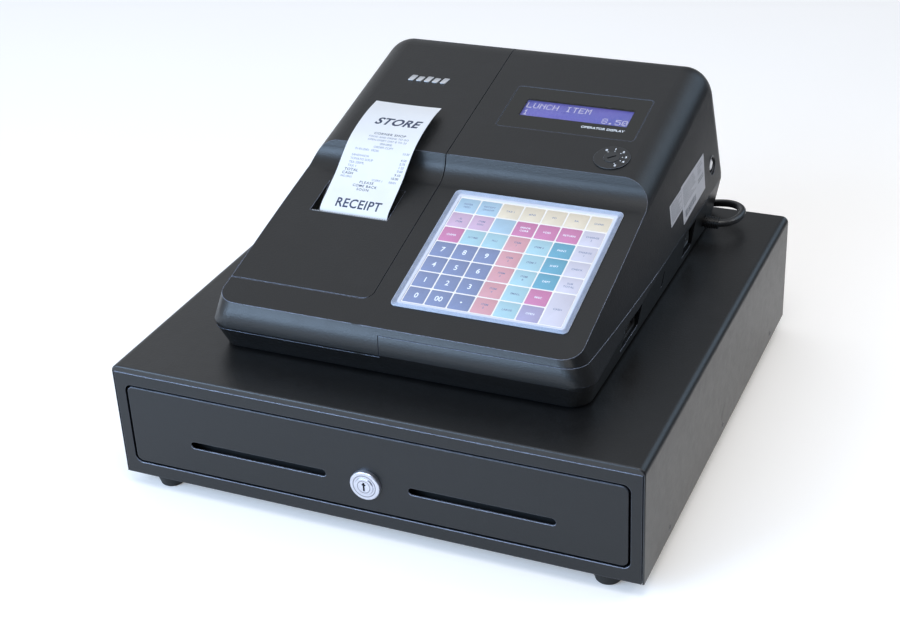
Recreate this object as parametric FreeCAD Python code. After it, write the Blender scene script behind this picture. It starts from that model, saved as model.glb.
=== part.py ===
import FreeCAD, Part
import math
import os
from FreeCAD import Vector

# Cash register: a keyboard-and-printer unit standing on a sheet-metal cash drawer.
# Modelling frame, millimetres: x = 0 on the drawer's centre line with +X to the right as seen
# from the front, y = 0 on the drawer's front face with +Y to the back, z = 0 on the underside
# of the casing. put() moves every piece to the product's own frame: origin on the counter top
# under the middle of the bounding box, +Z up.

os.makedirs("parts", exist_ok=True)

# ---------------------------------------------------------------- drawer dimensions
CASING_W, CASING_D = 410.0, 397.0
CASING_H = 93.5                        # without feet
SHEET = 1.2                            # sheet thickness
BEND_R = 5.5                           # bend radius of the long top edges
LIP_Z = 89.0                           # lower edge of the folded front lip
SIDE_SCREW_Z = 7.0
SIDE_SCREWS = [(side, y) for side in (-1, 1) for y in (60, 200, 350)]
OPENING = (-195.3, 195.3, 10.7, 78.8)  # x0, x1, z0, z1 of the hole in the front frame
FRONT = (-193.6, 193.6, 12.4, 77.2)    # x0, x1, z0, z1 of the drawer front
SLOT_Z0, SLOT_Z1 = 33.5, 39.4
SLOTS_X = ((-143.6, -32.0), (32.7, 142.6))
LOCK_Z = 35.0
LOCK_FLANGE_R = 11.7
LOCK_FLANGE_T = 3.4
LOCK_PROUD = 4.2                       # plug's reach ahead of the drawer front
LOCK_HOLE_R = 9.7
FOOT_H = 12.0
FOOT_TOP_R, FOOT_LOW_R = 12.5, 9.0
FOOT_XY = [(x, y) for y in (15, 380) for x in (-175, 175)]
TRAY_X = 181.0                         # half width
TRAY_Y0, TRAY_Y1 = 10.2, 345.0
TRAY_Z = 14.0
ROLLER_R = 7.0
ROLLER_Z = 38.25
FRONT_ROLLER_Y, REAR_ROLLER_Y = 22.0, 338.0
CABLE_R = 3.1
CABLE_BACK_Y = 401.1                   # centre line of the cable behind the casing
CABLE_X, CABLE_Z = 118.0, 61.5         # where the cable enters the casing

# ---------------------------------------------------------------- register unit dimensions
UNIT_X = 2.4                           # the unit's form stands this far right of centre
WALL = 2.5                             # plastic wall
BOT_Z = CASING_H + 2.0                 # underside of the unit
BOT_X, CREASE_X = 143.5, 149.3         # half widths at the underside and at the crease
BOT_FRONT_Y, CREASE_FRONT_Y = 52.5, 45.3
BOT_REAR_Y, CREASE_REAR_Y = 386.0, 396.0
CREASE_FRONT_Z, CREASE_REAR_Z = 114.0, 131.0
DECK_Y0, DECK_Z0, DECK_DEG = 50.0, 137.0, 15.1        # sloping keyboard deck
PANEL_Y0, PANEL_Z0, PANEL_DEG = 214.5, 196.5, 13.1    # sloping display panel
REAR_LEAN_DEG = 6.0
SHOULDER_R, REAR_R, FRONT_R = 22.0, 30.0, 16.0
PART_Z, CHIN_Z = 129.5, 112.0          # parting level, and its lower step at the front left
CHIN_X, CHIN_Y = -6.0, 72.0            # right and rear limits of that step
SEAM = 0.35
COVER_X = -23.5                        # right edge of the printer cover
COVER_Y = 71.5                         # front edge of the printer cover
COVER_EDGE_Z = 143.0                   # height of that front edge
COVER_GAP = 0.6
COVER_WALL_Y = 338.0                   # rear end of the cover's side
HINGE_Y, HINGE_Z = 352.0, 214.0
HINGE_TAIL_R = 19.0
REACH = 220.0                          # half width of blocks that must pass the whole unit

Y_MID = (CABLE_BACK_Y + CABLE_R - LOCK_PROUD) / 2.0   # middle of the product, front to back
DECK_A = math.radians(DECK_DEG)
PANEL_A = math.radians(PANEL_DEG)
REAR_LEAN = math.radians(REAR_LEAN_DEG)
ARC_INSET = 1 - math.sqrt(0.5)         # square corner to arc middle along each axis, per radius


# ---------------------------------------------------------------- helpers
def box(x0, x1, y0, y1, z0, z1):
    return Part.makeBox(x1 - x0, y1 - y0, z1 - z0, Vector(x0, y0, z0))


def cyl_x(x0, x1, y, z, r):
    return Part.makeCylinder(r, x1 - x0, Vector(x0, y, z), Vector(1, 0, 0))


def cyl_y(y0, y1, x, z, r):
    return Part.makeCylinder(r, y1 - y0, Vector(x, y0, z), Vector(0, 1, 0))


def cyl_z(z0, z1, x, y, r):
    return Part.makeCylinder(r, z1 - z0, Vector(x, y, z0), Vector(0, 0, 1))


def fuse(first, *more):
    return first.multiFuse(list(more)).removeSplitter()


def closed_wire(points):
    return Part.makePolygon([Vector(*p) for p in points] + [Vector(*points[0])])


def prism(points, travel):
    return Part.Face(closed_wire(points)).extrude(Vector(*travel))


def prism_x(points, x0, x1):
    """Prism along X over a polygon of (y, z) points."""
    return prism([(x0, y, z) for y, z in points], (x1 - x0, 0, 0))


def prism_z(points, z0, z1):
    """Prism along Z over a polygon of (x, y) points."""
    return prism([(x, y, z0) for x, y in points], (0, 0, z1 - z0))


def outline_face(place, segments):
    """Face inside segments of flat points, two for a line and three for an arc."""
    edges = []
    for segment in segments:
        points = [place(*p) for p in segment]
        if len(points) == 2:
            edges.append(Part.makeLine(*points))
        else:
            edges.append(Part.Arc(*points).toShape())
    return Part.Face(Part.Wire(edges))


def grown(rect, by):
    a0, a1, b0, b1 = rect
    return a0 - by, a1 + by, b0 - by, b1 + by


PLANES = {"xz": lambda a, b, c: Vector(a, c, b),
          "xy": lambda a, b, c: Vector(a, b, c),
          "yz": lambda a, b, c: Vector(c, a, b)}


def rounded_box(plane, a0, a1, b0, b1, r, c0, c1):
    """Rounded rectangle in the named plane, extruded from c0 to c1 along the third axis."""
    place = PLANES[plane]
    k = r * ARC_INSET
    sides = [((a0 + r, b0), (a1 - r, b0)), ((a1, b0 + r), (a1, b1 - r)),
             ((a1 - r, b1), (a0 + r, b1)), ((a0, b1 - r), (a0, b0 + r))]
    corners = [(a1 - k, b0 + k), (a1 - k, b1 - k), (a0 + k, b1 - k), (a0 + k, b0 + k)]
    segments = []
    for i, (start, end) in enumerate(sides):
        segments += [(start, end), (end, corners[i], sides[(i + 1) % 4][0])]
    face = outline_face(lambda a, b: place(a, b, c0), segments)
    return face.extrude(place(0, 0, c1 - c0))


def middle(edge):
    return edge.valueAt((edge.FirstParameter + edge.LastParameter) / 2.0)


def edges_at(shape, axis, value):
    """Edges whose middle lies at the given coordinate."""
    return [e for e in shape.Edges if abs(getattr(middle(e), axis) - value) < 1e-6]


def runs_along(edge, axis):
    return abs(getattr(edge.tangentAt(edge.FirstParameter), axis)) > 0.9


def mirror_x(shape):
    return shape.mirror(Vector(0, 0, 0), Vector(1, 0, 0))


def on_side(side, shape):
    """A shape modelled on the right, mirrored when side is -1."""
    return shape if side > 0 else mirror_x(shape)


def cut_cross(shape, x, y, half_length, half_width, z0, z1):
    """Cut a cross recess into a vertical screw's head."""
    shape = shape.cut(box(x - half_width, x + half_width, y - half_length, y + half_length, z0, z1))
    return shape.cut(box(x - half_length, x + half_length, y - half_width, y + half_width, z0, z1))


def on_slope(shape, degrees, y, z):
    """From a local frame (x, distance up the slope, height above it) to the modelling frame."""
    placed = shape.copy()
    placed.rotate(Vector(0, 0, 0), Vector(1, 0, 0), degrees)
    placed.translate(Vector(0, y, z))
    return placed


def on_deck(shape):
    return on_slope(shape, DECK_DEG, DECK_Y0, DECK_Z0)


def on_panel(shape):
    return on_slope(shape, PANEL_DEG, PANEL_Y0, PANEL_Z0)


def deck_up(y):
    """Distance up the deck at a given y."""
    return (y - DECK_Y0) / math.cos(DECK_A)


def panel_up(y):
    """Distance up the display panel at a given y."""
    return (y - PANEL_Y0) / math.cos(PANEL_A)


def put(name, shape):
    """Move a piece to the product's frame and write it as parts/<name>.step."""
    placed = shape.copy()
    placed.translate(Vector(0, -Y_MID, FOOT_H))
    solids = placed.Solids
    piece = solids[0] if len(solids) == 1 else Part.makeCompound(solids)
    piece.exportStep("parts/%s.step" % name)


# ================================================================ drawer casing
def casing_block(inset):
    """Casing form offset inwards; an inset block also runs 1 mm out of the open bottom."""
    w = CASING_W / 2 - inset
    top = CASING_H - inset
    bottom = 0.0 if inset == 0 else -1.0
    r = BEND_R - inset
    k = r * ARC_INSET
    face = outline_face(lambda x, z: Vector(x, inset, z), [
        ((-w, bottom), (w, bottom)),
        ((w, bottom), (w, top - r)),
        ((w, top - r), (w - k, top - k), (w - r, top)),
        ((w - r, top), (-w + r, top)),
        ((-w + r, top), (-w + k, top - k), (-w, top - r)),
        ((-w, top - r), (-w, bottom))])
    return face.extrude(Vector(0, CASING_D - 2 * inset, 0))


def drawer_casing():
    outer = casing_block(0.0)
    front_top = [e for e in edges_at(outer, "y", 0)
                 if abs(middle(e).x) < 1 and middle(e).z > 90]
    outer = outer.makeFillet(1.4, front_top)
    casing = outer.cut(casing_block(SHEET))
    inner_x = CASING_W / 2 - SHEET
    casing = casing.cut(box(-inner_x, inner_x, -1, SHEET + 0.1, -1, LIP_Z))
    casing = casing.cut(cyl_y(390, 400, CABLE_X, CABLE_Z, 5.6))
    # countersunk holes for the screws that hold the casing to the base pan
    for side, y in SIDE_SCREWS:
        sink = Part.makeCone(1.6, 3.2, 1.3, Vector(203.7, y, SIDE_SCREW_Z), Vector(1, 0, 0))
        hole = cyl_x(200, 210, y, SIDE_SCREW_Z, 1.6).fuse(sink)
        casing = casing.cut(on_side(side, hole))
    return casing


def drawer_base_pan():
    half_w, y0, y1, flange_z = 202.6, 8.4, 395.4, 13.0
    pan = box(-half_w, half_w, y0, y1, 0.0, SHEET)
    pan = fuse(pan,
               box(-half_w, -half_w + SHEET, y0, y1, 0, flange_z),
               box(half_w - SHEET, half_w, y0, y1, 0, flange_z),
               box(-half_w, half_w, y1 - SHEET, y1, 0, flange_z),
               box(-9, 9, 16.2, 17.6, 0, 12.0))      # upright tab behind the front
    for x, y in FOOT_XY:
        pan = pan.cut(cyl_z(-1, 3, x, y, 2.1))
    for x in (-150, 150):
        for y in (60, 340):
            pan = pan.cut(cyl_z(-1, 3, x, y, 2.25))
    for side, y in SIDE_SCREWS:
        pan = pan.cut(on_side(side, cyl_x(199, 206, y, SIDE_SCREW_Z, 1.6)))
    # raised stiffening ribs on the floor
    for x in (-110, 110):
        pan = fuse(pan, rounded_box("xy", x - 5, x + 5, 90, 300, 4.9, SHEET, SHEET + 1.6))
    return pan


def drawer_front_frame():
    half_w, z0, z1 = 203.1, 0.2, LIP_Z - 0.5
    flange_y, side_z0 = 14.0, z0 + 14
    frame = box(-half_w, half_w, 0.0, SHEET, z0, z1)
    frame = fuse(frame,
                 box(-half_w, half_w, 0, 8.0, z0, z0 + SHEET),
                 box(-half_w, half_w, 0, flange_y, z1 - SHEET, z1),
                 box(-half_w, -half_w + SHEET, 0, flange_y, side_z0, z1),
                 box(half_w - SHEET, half_w, 0, flange_y, side_z0, z1))
    collar = rounded_box("xz", *grown(OPENING, SHEET), 7.2, 0.0, 7.0)
    return fuse(frame, collar).cut(rounded_box("xz", *OPENING, 6.0, -1, 20))


def casing_feet():
    feet = []
    for x, y in FOOT_XY:
        foot = Part.makeCone(FOOT_TOP_R, FOOT_LOW_R, FOOT_H, Vector(x, y, 0), Vector(0, 0, -1))
        foot = foot.makeFillet(1.6, edges_at(foot, "z", -FOOT_H))
        foot = foot.cut(cyl_z(-FOOT_H - 1, 1, x, y, 2.1))
        foot = foot.cut(cyl_z(-FOOT_H - 1, -5.0, x, y, 4.6))
        feet.append(foot)
    return Part.makeCompound(feet)


def casing_screws():
    """Four foot screws from below and six side screws."""
    screws = []
    for x, y in FOOT_XY:
        screw = fuse(cyl_z(-6.9, -5.0, x, y, 3.8), cyl_z(-6.0, 5.0, x, y, 1.95))
        screws.append(cut_cross(screw, x, y, 2.6, 0.5, -8, -6.1))
    for side, y in SIDE_SCREWS:
        z = SIDE_SCREW_Z
        head = Part.makeCone(1.5, 3.0, 1.1, Vector(203.9, y, z), Vector(1, 0, 0))
        screw = cyl_x(198.6, 203.9, y, z, 1.5).fuse(head)
        screw = screw.cut(box(204.4, 206, y - 2.0, y + 2.0, z - 0.35, z + 0.35))
        screw = screw.cut(box(204.4, 206, y - 0.35, y + 0.35, z - 2.0, z + 2.0))
        screws.append(on_side(side, screw))
    return Part.makeCompound(screws)


# ---------------------------------------------------------------- slides
def slide_rails():
    x0, x1, y0, y1, z0, z1 = 184.5, 203.4, 16, 391, 30.0, 49.4
    rails = []
    for side in (-1, 1):
        rail = fuse(box(x1 - SHEET, x1, y0, y1, z0, z1),
                    box(x0, x1, y0, y1, z0, z0 + SHEET),
                    box(x0, x1, y0, y1, z1 - SHEET, z1),
                    cyl_x(184.6, 202.6, FRONT_ROLLER_Y, ROLLER_Z, 2.0),
                    box(x0, x1, y1 - SHEET, y1, z0, z1))
        rails.append(on_side(side, rail))
    return Part.makeCompound(rails)


def roller_pair(y):
    roller = cyl_x(185.6, 191.4, y, ROLLER_Z, ROLLER_R)
    roller = roller.makeFillet(0.8, [e for e in roller.Edges if e.Length > 30])
    roller = roller.cut(cyl_x(184, 193, y, ROLLER_Z, 2.05))
    groove = cyl_x(184, 186.4, y, ROLLER_Z, 5.4).cut(cyl_x(184, 186.4, y, ROLLER_Z, 3.6))
    roller = roller.cut(groove)
    return Part.makeCompound([roller, mirror_x(roller)])


def front_rollers():
    return roller_pair(FRONT_ROLLER_Y)


def rear_rollers():
    return roller_pair(REAR_ROLLER_Y)


# ================================================================ sliding drawer
def slot(x0, x1, y0, y1, grow=0.0):
    """Cutter for one of the long round-ended slots in the drawer front."""
    r = (SLOT_Z1 - SLOT_Z0) / 2 + grow - 0.01
    return rounded_box("xz", *grown((x0, x1, SLOT_Z0, SLOT_Z1), grow), r, y0, y1)


def drawer_front_panel():
    panel = rounded_box("xz", *FRONT, 5.0, 0.0, 10.0)
    panel = panel.makeFillet(0.8, edges_at(panel, "y", 0))
    panel = panel.cut(rounded_box("xz", *grown(FRONT, -SHEET), 3.8, SHEET, 20))
    for x0, x1 in SLOTS_X:
        panel = panel.cut(slot(x0, x1, -1, 3))
    return panel.cut(cyl_y(-1, 3, 0, LOCK_Z, LOCK_HOLE_R))


def drawer_tray():
    tray = box(-TRAY_X, TRAY_X, TRAY_Y0, TRAY_Y1, TRAY_Z, 60.0)
    tray = tray.cut(box(*grown((-TRAY_X, TRAY_X, TRAY_Y0, TRAY_Y1), -SHEET), TRAY_Z + SHEET, 100))
    tray = fuse(tray, box(-TRAY_X, TRAY_X, TRAY_Y0, TRAY_Y0 + SHEET, 50, 74.0))
    for x0, x1 in SLOTS_X:
        tray = tray.cut(slot(x0, x1, 9, 13, grow=1.0))
    tray = tray.cut(cyl_y(9, 13, 0, LOCK_Z, LOCK_HOLE_R))
    tray = tray.cut(box(-7.5, 27, 18.6, 23.4, 13, 16))    # floor slot below the lock cam
    # runners with the rear roller axles
    for side in (-1, 1):
        runner = fuse(box(TRAY_X, TRAY_X + SHEET, TRAY_Y0 + 2, TRAY_Y1, 31.8, 46.5),
                      box(TRAY_X, 192.5, TRAY_Y0 + 2, TRAY_Y1, 45.3, 46.5),
                      cyl_x(TRAY_X + 0.5, 192.4, REAR_ROLLER_Y, ROLLER_Z, 2.0))
        tray = fuse(tray, on_side(side, runner))
    return tray


# ---------------------------------------------------------------- till insert
TILL_X = 178.6                         # half width
TILL_Y0, TILL_Y1 = 25.0, 341.5
TILL_Z0, TILL_Z1 = 26.0, 70.0
TILL_WALL = 2.0
BAY_Y0, BAY_Y1 = 152.0, 339.5
BAY_W = (2 * (TILL_X - TILL_WALL) - 3 * TILL_WALL) / 4.0
BAYS = []                              # x0, x1 of the four note bays
for i in range(4):
    bay_x0 = -TILL_X + TILL_WALL + i * (BAY_W + TILL_WALL)
    BAYS.append((bay_x0, bay_x0 + BAY_W))
AXLE_Y, AXLE_Z = 331.0, 62.0
AXLE_R, AXLE_BORE_R = 2.5, 2.55


def till_insert():
    """Note bays at the back, a well for the coin cups at the front."""
    inner_x, floor = TILL_X - TILL_WALL, TILL_Z0 + TILL_WALL
    till = rounded_box("xy", -TILL_X, TILL_X, TILL_Y0, TILL_Y1, 5.0, TILL_Z0, TILL_Z1)
    till = till.cut(rounded_box("xy", -inner_x, inner_x, TILL_Y0 + TILL_WALL,
                                BAY_Y0 - TILL_WALL, 3.0, floor, 90))
    for x0, x1 in BAYS:
        till = till.cut(rounded_box("xy", x0, x1, BAY_Y0, BAY_Y1, 3.0, floor, 90))
    # legs down to the tray floor
    for x in (-168, 0, 168):
        for y in (38, 150, 325):
            till = fuse(till, cyl_z(15.3, TILL_Z0 + 0.5, x, y, 5.0))
    till = till.cut(cyl_x(-TILL_X + 0.8, TILL_X - 0.8, AXLE_Y, AXLE_Z, AXLE_BORE_R))
    # finger scoops in the dividers
    for x0, x1 in BAYS[:3]:
        x = x1 + TILL_WALL / 2
        till = till.cut(cyl_x(x - 3, x + 3, 205, 78, 26))
    return till


def clip_axle():
    return cyl_x(-TILL_X + 0.9, TILL_X - 0.9, AXLE_Y, AXLE_Z, AXLE_R)


def coin_cups():
    """Eight cups with scooped floors, four across and two deep."""
    half_w, y0, y1, z0, z1 = 176.2, 27.4, 149.6, 28.1, 68.0
    rim, divider = 2.0, 1.8
    floor = z0 + 2
    cup_w = (2 * half_w - 2 * rim - 3 * divider) / 4.0
    cup_d = (y1 - y0 - 2 * rim - divider) / 2.0
    cups = rounded_box("xy", -half_w, half_w, y0, y1, 3.0, z0, z1)
    for i in range(4):
        for j in range(2):
            x = -half_w + rim + i * (cup_w + divider)
            y = y0 + rim + j * (cup_d + divider)
            cup = box(x, x + cup_w, y, y + cup_d, floor, 90)
            cup = cup.makeFillet(
                20.0, [e for e in edges_at(cup, "z", floor) if runs_along(e, "x")])
            cup = cup.makeFillet(
                2.5, [e for e in cup.Edges if runs_along(e, "z") and e.Length > 20])
            cups = cups.cut(cup)
    return cups


def note_clip(x0, x1):
    """Clip in the middle of a bay, hanging forward and down from the axle."""
    tip_y, tip_z = 272.0, 41.0
    x = (x0 + x1) / 2
    dy, dz = tip_y - AXLE_Y, tip_z - AXLE_Z
    length = math.hypot(dy, dz)
    barrel = cyl_x(x - 11, x + 11, AXLE_Y, AXLE_Z, 4.6)
    # the arm is drawn level, reaching forward from the origin, then tilted down
    arm = prism_z([(x - 9, 0), (x - 14, -length), (x + 14, -length), (x + 9, 0)], -1.1, 1.1)
    arm = arm.cut(prism_z([(x - 5, -12), (x - 9, -length + 10),
                           (x + 9, -length + 10), (x + 5, -12)], -3, 3))
    arm = fuse(arm, cyl_x(x - 17, x + 17, -length, 0, 3.4))
    arm.rotate(Vector(0, 0, 0), Vector(1, 0, 0), -math.degrees(math.atan2(dz, -dy)))
    arm.translate(Vector(0, AXLE_Y, AXLE_Z))
    return fuse(barrel, arm).cut(cyl_x(x - 20, x + 20, AXLE_Y, AXLE_Z, AXLE_BORE_R))


# ---------------------------------------------------------------- drawer lock
def drawer_lock_housing():
    housing = fuse(cyl_y(-LOCK_FLANGE_T, 0.0, 0, LOCK_Z, LOCK_FLANGE_R),
                   cyl_y(-0.5, 19.4, 0, LOCK_Z, 9.5))
    housing = housing.makeFillet(1.2, edges_at(housing, "y", -LOCK_FLANGE_T))
    return housing.cut(cyl_y(-5, 21, 0, LOCK_Z, 7.05))


def drawer_lock_plug():
    plug = cyl_y(-LOCK_PROUD, 19.6, 0, LOCK_Z, 7.0)
    plug = plug.makeFillet(0.6, edges_at(plug, "y", -LOCK_PROUD))
    plug = fuse(plug, box(-3, 3, 19.6, 23.6, LOCK_Z - 3, LOCK_Z + 3))
    # keyway
    plug = plug.cut(box(-0.7, 0.7, -6, 10, LOCK_Z - 3.6, LOCK_Z + 3.6))
    return plug.cut(box(-1.5, 1.5, -6, 10, LOCK_Z + 1.0, LOCK_Z + 2.4))


def lock_cam():
    y0, y1, tip_r = 20.2, 22.2, 4.5
    cam = fuse(cyl_y(y0, y1, 0, LOCK_Z, 7.0),
               box(0, 23, y0, y1, LOCK_Z - tip_r, LOCK_Z + tip_r),
               cyl_y(y0, y1, 22.5, LOCK_Z, tip_r))
    return cam.cut(box(-3, 3, 19, 24, LOCK_Z - 3, LOCK_Z + 3))


# ---------------------------------------------------------------- latch at the back
PIVOT_X, PIVOT_Y, LATCH_Z = 12.0, 386.0, 40.0
LEVER_DEG = 20.0
LEVER_ARM = 13.0                       # pivot to the plunger pin's slot
PIN_X, PIN_Y = PIVOT_X + LEVER_ARM * math.sin(math.radians(LEVER_DEG)), 373.6
SPRING_X, SPRING_R = -60, 5.6


def latch_striker():
    return fuse(box(-3, 0, TRAY_Y1, 371.0, 35.5, 46.5),
                box(-3, 6, 367.5, 371.0, 35.5, 46.5),
                box(-14, 8, TRAY_Y1, TRAY_Y1 + 1.5, 31, 51))


def latch_bracket():
    x0, x1, y1, z0, z1 = -72, 78, 393.6, SHEET, 54
    bracket = fuse(box(x0, x1, 352, y1, z0, z0 + 2.0),
                   box(x0, x1, y1 - 2.0, y1, z0, z1),
                   box(27, 29.5, 360, y1, z0, z1),                       # solenoid wall
                   cyl_z(z0, LATCH_Z - 3.4, PIVOT_X, PIVOT_Y, 4.5),
                   cyl_z(z0, LATCH_Z + 5.0, PIVOT_X, PIVOT_Y, 2.0),
                   cyl_y(370, 392, SPRING_X, LATCH_Z, 3.0))              # spring stud
    return bracket.cut(cyl_x(26, 31, PIN_Y, LATCH_Z, 4.4)).cut(box(26, 31, 363, 392, 12, 26))


def latch_lever():
    """Hooked lever, drawn straight and then turned about its pivot."""
    outline = [(0.8, 361.0), (7.4, 361.0), (16.8, 376.0), (17.0, 388.0),   # x, y
               (8.0, 389.0), (7.4, 374.0), (7.2, 366.9), (0.8, 366.9)]
    lever = prism_z(outline, LATCH_Z - 1.5, LATCH_Z + 1.5)
    lever = fuse(lever, cyl_z(LATCH_Z - 3.3, LATCH_Z + 1.5, PIVOT_X, PIVOT_Y, 5.4))
    lever = lever.cut(cyl_z(0, 80, PIVOT_X, PIVOT_Y, 2.05))
    slot_y = PIVOT_Y - LEVER_ARM
    lever = lever.cut(rounded_box("xy", PIVOT_X - 1.75, PIVOT_X + 1.75,
                                  slot_y - 2.9, slot_y + 2.9, 1.7, 30, 50))
    lever.rotate(Vector(PIVOT_X, PIVOT_Y, 0), Vector(0, 0, 1), LEVER_DEG)
    return lever


def solenoid_plunger():
    """Rod with a fork and cross pin that takes the lever."""
    fork_x0, y0, y1 = PIN_X - 3.2, PIN_Y - 3.0, PIN_Y + 3.0
    z0, z1 = LATCH_Z - 4.0, LATCH_Z + 4.0
    plunger = fuse(cyl_x(22.0, 58.0, PIN_Y, LATCH_Z, 4.0),
                   box(fork_x0, 24, y0, y1, z0, LATCH_Z - 1.9),
                   box(fork_x0, 24, y0, y1, LATCH_Z + 1.9, z1),
                   box(21.5, 24, y0, y1, z0, z1))
    return fuse(plunger, cyl_z(z0, z1, PIN_X, PIN_Y, 1.5))


def latch_solenoid():
    bore = cyl_x(29, 63, PIN_Y, LATCH_Z, 4.06)
    solenoid = box(29.7, 66, 362.5, 385, LATCH_Z - 11, LATCH_Z + 11)
    solenoid = solenoid.makeFillet(1.0, [e for e in solenoid.Edges if runs_along(e, "x")])
    solenoid = solenoid.cut(bore)
    return fuse(solenoid, cyl_x(30, 65, PIN_Y, LATCH_Z, 10.6).cut(bore))


def ejector_spring():
    """Spring at its closed-drawer length."""
    helix = Part.makeHelix(5.2, 44.5, SPRING_R)
    section = Part.Wire([Part.makeCircle(0.8, Vector(SPRING_R, 0, 0), Vector(0, 1, 0))])
    spring = Part.Wire(helix.Edges).makePipeShell([section], True, True)
    spring.rotate(Vector(0, 0, 0), Vector(1, 0, 0), -90)
    spring.translate(Vector(SPRING_X, 346.2, LATCH_Z))
    return spring


# ================================================================ register housing
# inward lean of the side walls: y, x per unit of height
SIDE_LEAN = ((45, 0.42), (100, 0.290), (160, 0.225), (214.5, 0.205),
             (300, 0.140), (396, 0.098), (440, 0.088))


def side_lean(y):
    if y <= SIDE_LEAN[0][0]:
        return SIDE_LEAN[0][1] + (SIDE_LEAN[0][0] - y) * 0.001
    for (y0, lean0), (y1, lean1) in zip(SIDE_LEAN[:-1], SIDE_LEAN[1:]):
        if y <= y1:
            return lean0 + (lean1 - lean0) * (y - y0) / (y1 - y0)
    return SIDE_LEAN[-1][1]


def crease_z(y):
    rise = CREASE_REAR_Z - CREASE_FRONT_Z
    return CREASE_FRONT_Z + rise * min(max((y - CREASE_FRONT_Y) / 190.0, 0), 1)


def side_walls(t):
    """Lofted block, inset by t, whose sides lean in above the crease and tuck in below it."""
    top, extra = 262.0, 3          # the loft starts this far below the underside
    sections = []
    for i in range(10):
        y = 20 + i * 46.0
        lean = sum(side_lean(y + d) for d in (-25, -12, 0, 12, 25)) / 5
        z_crease = sum(crease_z(y + d) for d in (-20, -10, 0, 10, 20)) / 5
        x_crease = CREASE_X - t
        x_top = x_crease - lean * (top - z_crease)
        z_low = BOT_Z + t - extra
        x_low = BOT_X - t - (CREASE_X - BOT_X) * extra / (z_crease - BOT_Z)
        sections.append(closed_wire([
            (-x_low, y, z_low), (x_low, y, z_low), (x_crease, y, z_crease),
            (x_top, y, top), (-x_top, y, top), (-x_crease, y, z_crease)]))
    return Part.makeLoft(sections, True, False)


def deck_z(y, t):
    return DECK_Z0 + math.tan(DECK_A) * (y - DECK_Y0) - t / math.cos(DECK_A)


def panel_z(y, t):
    return PANEL_Z0 + math.tan(PANEL_A) * (y - PANEL_Y0) - t / math.cos(PANEL_A)


def rear_arc(t):
    """Start, middle and end (y, z) of the arc from the display panel to the rear wall."""
    slope, lean = math.tan(PANEL_A), math.tan(REAR_LEAN)
    rear = CREASE_REAR_Y - t / math.cos(REAR_LEAN)
    # corner where the panel and rear planes meet
    z = (PANEL_Z0 + slope * (rear + CREASE_REAR_Z * lean - PANEL_Y0)
         - t / math.cos(PANEL_A)) / (1 + slope * lean)
    y = rear - (z - CREASE_REAR_Z) * lean
    r = REAR_R - t
    forward = (-math.cos(PANEL_A), -math.sin(PANEL_A))
    down = (math.sin(REAR_LEAN), -math.cos(REAR_LEAN))
    angle = math.acos(forward[0] * down[0] + forward[1] * down[1])
    setback = r / math.tan(angle / 2)
    start = (y + forward[0] * setback, z + forward[1] * setback)
    end = (y + down[0] * setback, z + down[1] * setback)
    bisector = (forward[0] + down[0], forward[1] + down[1])
    size = math.hypot(*bisector)
    reach = r / math.sin(angle / 2) - r       # from the corner to the arc
    return start, (y + bisector[0] / size * reach, z + bisector[1] / size * reach), end


def body(t):
    """Outer form of the register offset inwards by t."""
    start, arc_mid, end = rear_arc(t)
    front_y = 46.0 + t
    low = [end, (CREASE_REAR_Y - t, CREASE_REAR_Z), (BOT_REAR_Y - t, BOT_Z + t),
           (BOT_FRONT_Y + t, BOT_Z + t), (CREASE_FRONT_Y + t, CREASE_FRONT_Z),
           (front_y, deck_z(front_y, t))]
    if t < 1.0:
        # concave sweep from the deck up to the crisp front edge of the display panel
        deck_end = (196.5, deck_z(196.5, t))
        rise = (213.0 + t * 0.6, 191.6 - t * 0.8)
        crest = (PANEL_Y0 + t * 0.7, panel_z(PANEL_Y0 + t * 0.7, t))
        step = [(deck_end, (207.3 + t * 0.3, 181.6 - t), rise), (rise, crest)]
    else:
        deck_end = (208.6, deck_z(208.6, t))
        crest = (217.0, panel_z(217.0, t))
        step = [(deck_end, crest)]
    segments = list(zip(low, low[1:] + [deck_end])) + step
    segments += [(crest, start), (start, arc_mid, end)]
    profile = outline_face(lambda y, z: Vector(-REACH, y, z), segments)
    form = side_walls(t).common(profile.extrude(Vector(2 * REACH, 0, 0))).Solids[0]

    def is_shoulder(edge):
        m = middle(edge)
        span = abs(edge.valueAt(edge.FirstParameter).y - edge.valueAt(edge.LastParameter).y)
        return (abs(m.x) > 120 and m.y > 230 and m.z > 97 and span < 250
                and not (m.z < 140 and m.y < 350))

    def is_front_corner(edge):
        m = middle(edge)
        return abs(m.x) > 130 and m.y < 55 + t and 96 + t < m.z < 140

    form = form.makeFillet(SHOULDER_R - t, [e for e in form.Edges if is_shoulder(e)])
    form = form.makeFillet(FRONT_R - t, [e for e in form.Edges if is_front_corner(e)])
    form.translate(Vector(UNIT_X, 0, 0))
    return form


SHELL_IN = body(WALL)
SHELL = body(0.0).cut(SHELL_IN)


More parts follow.
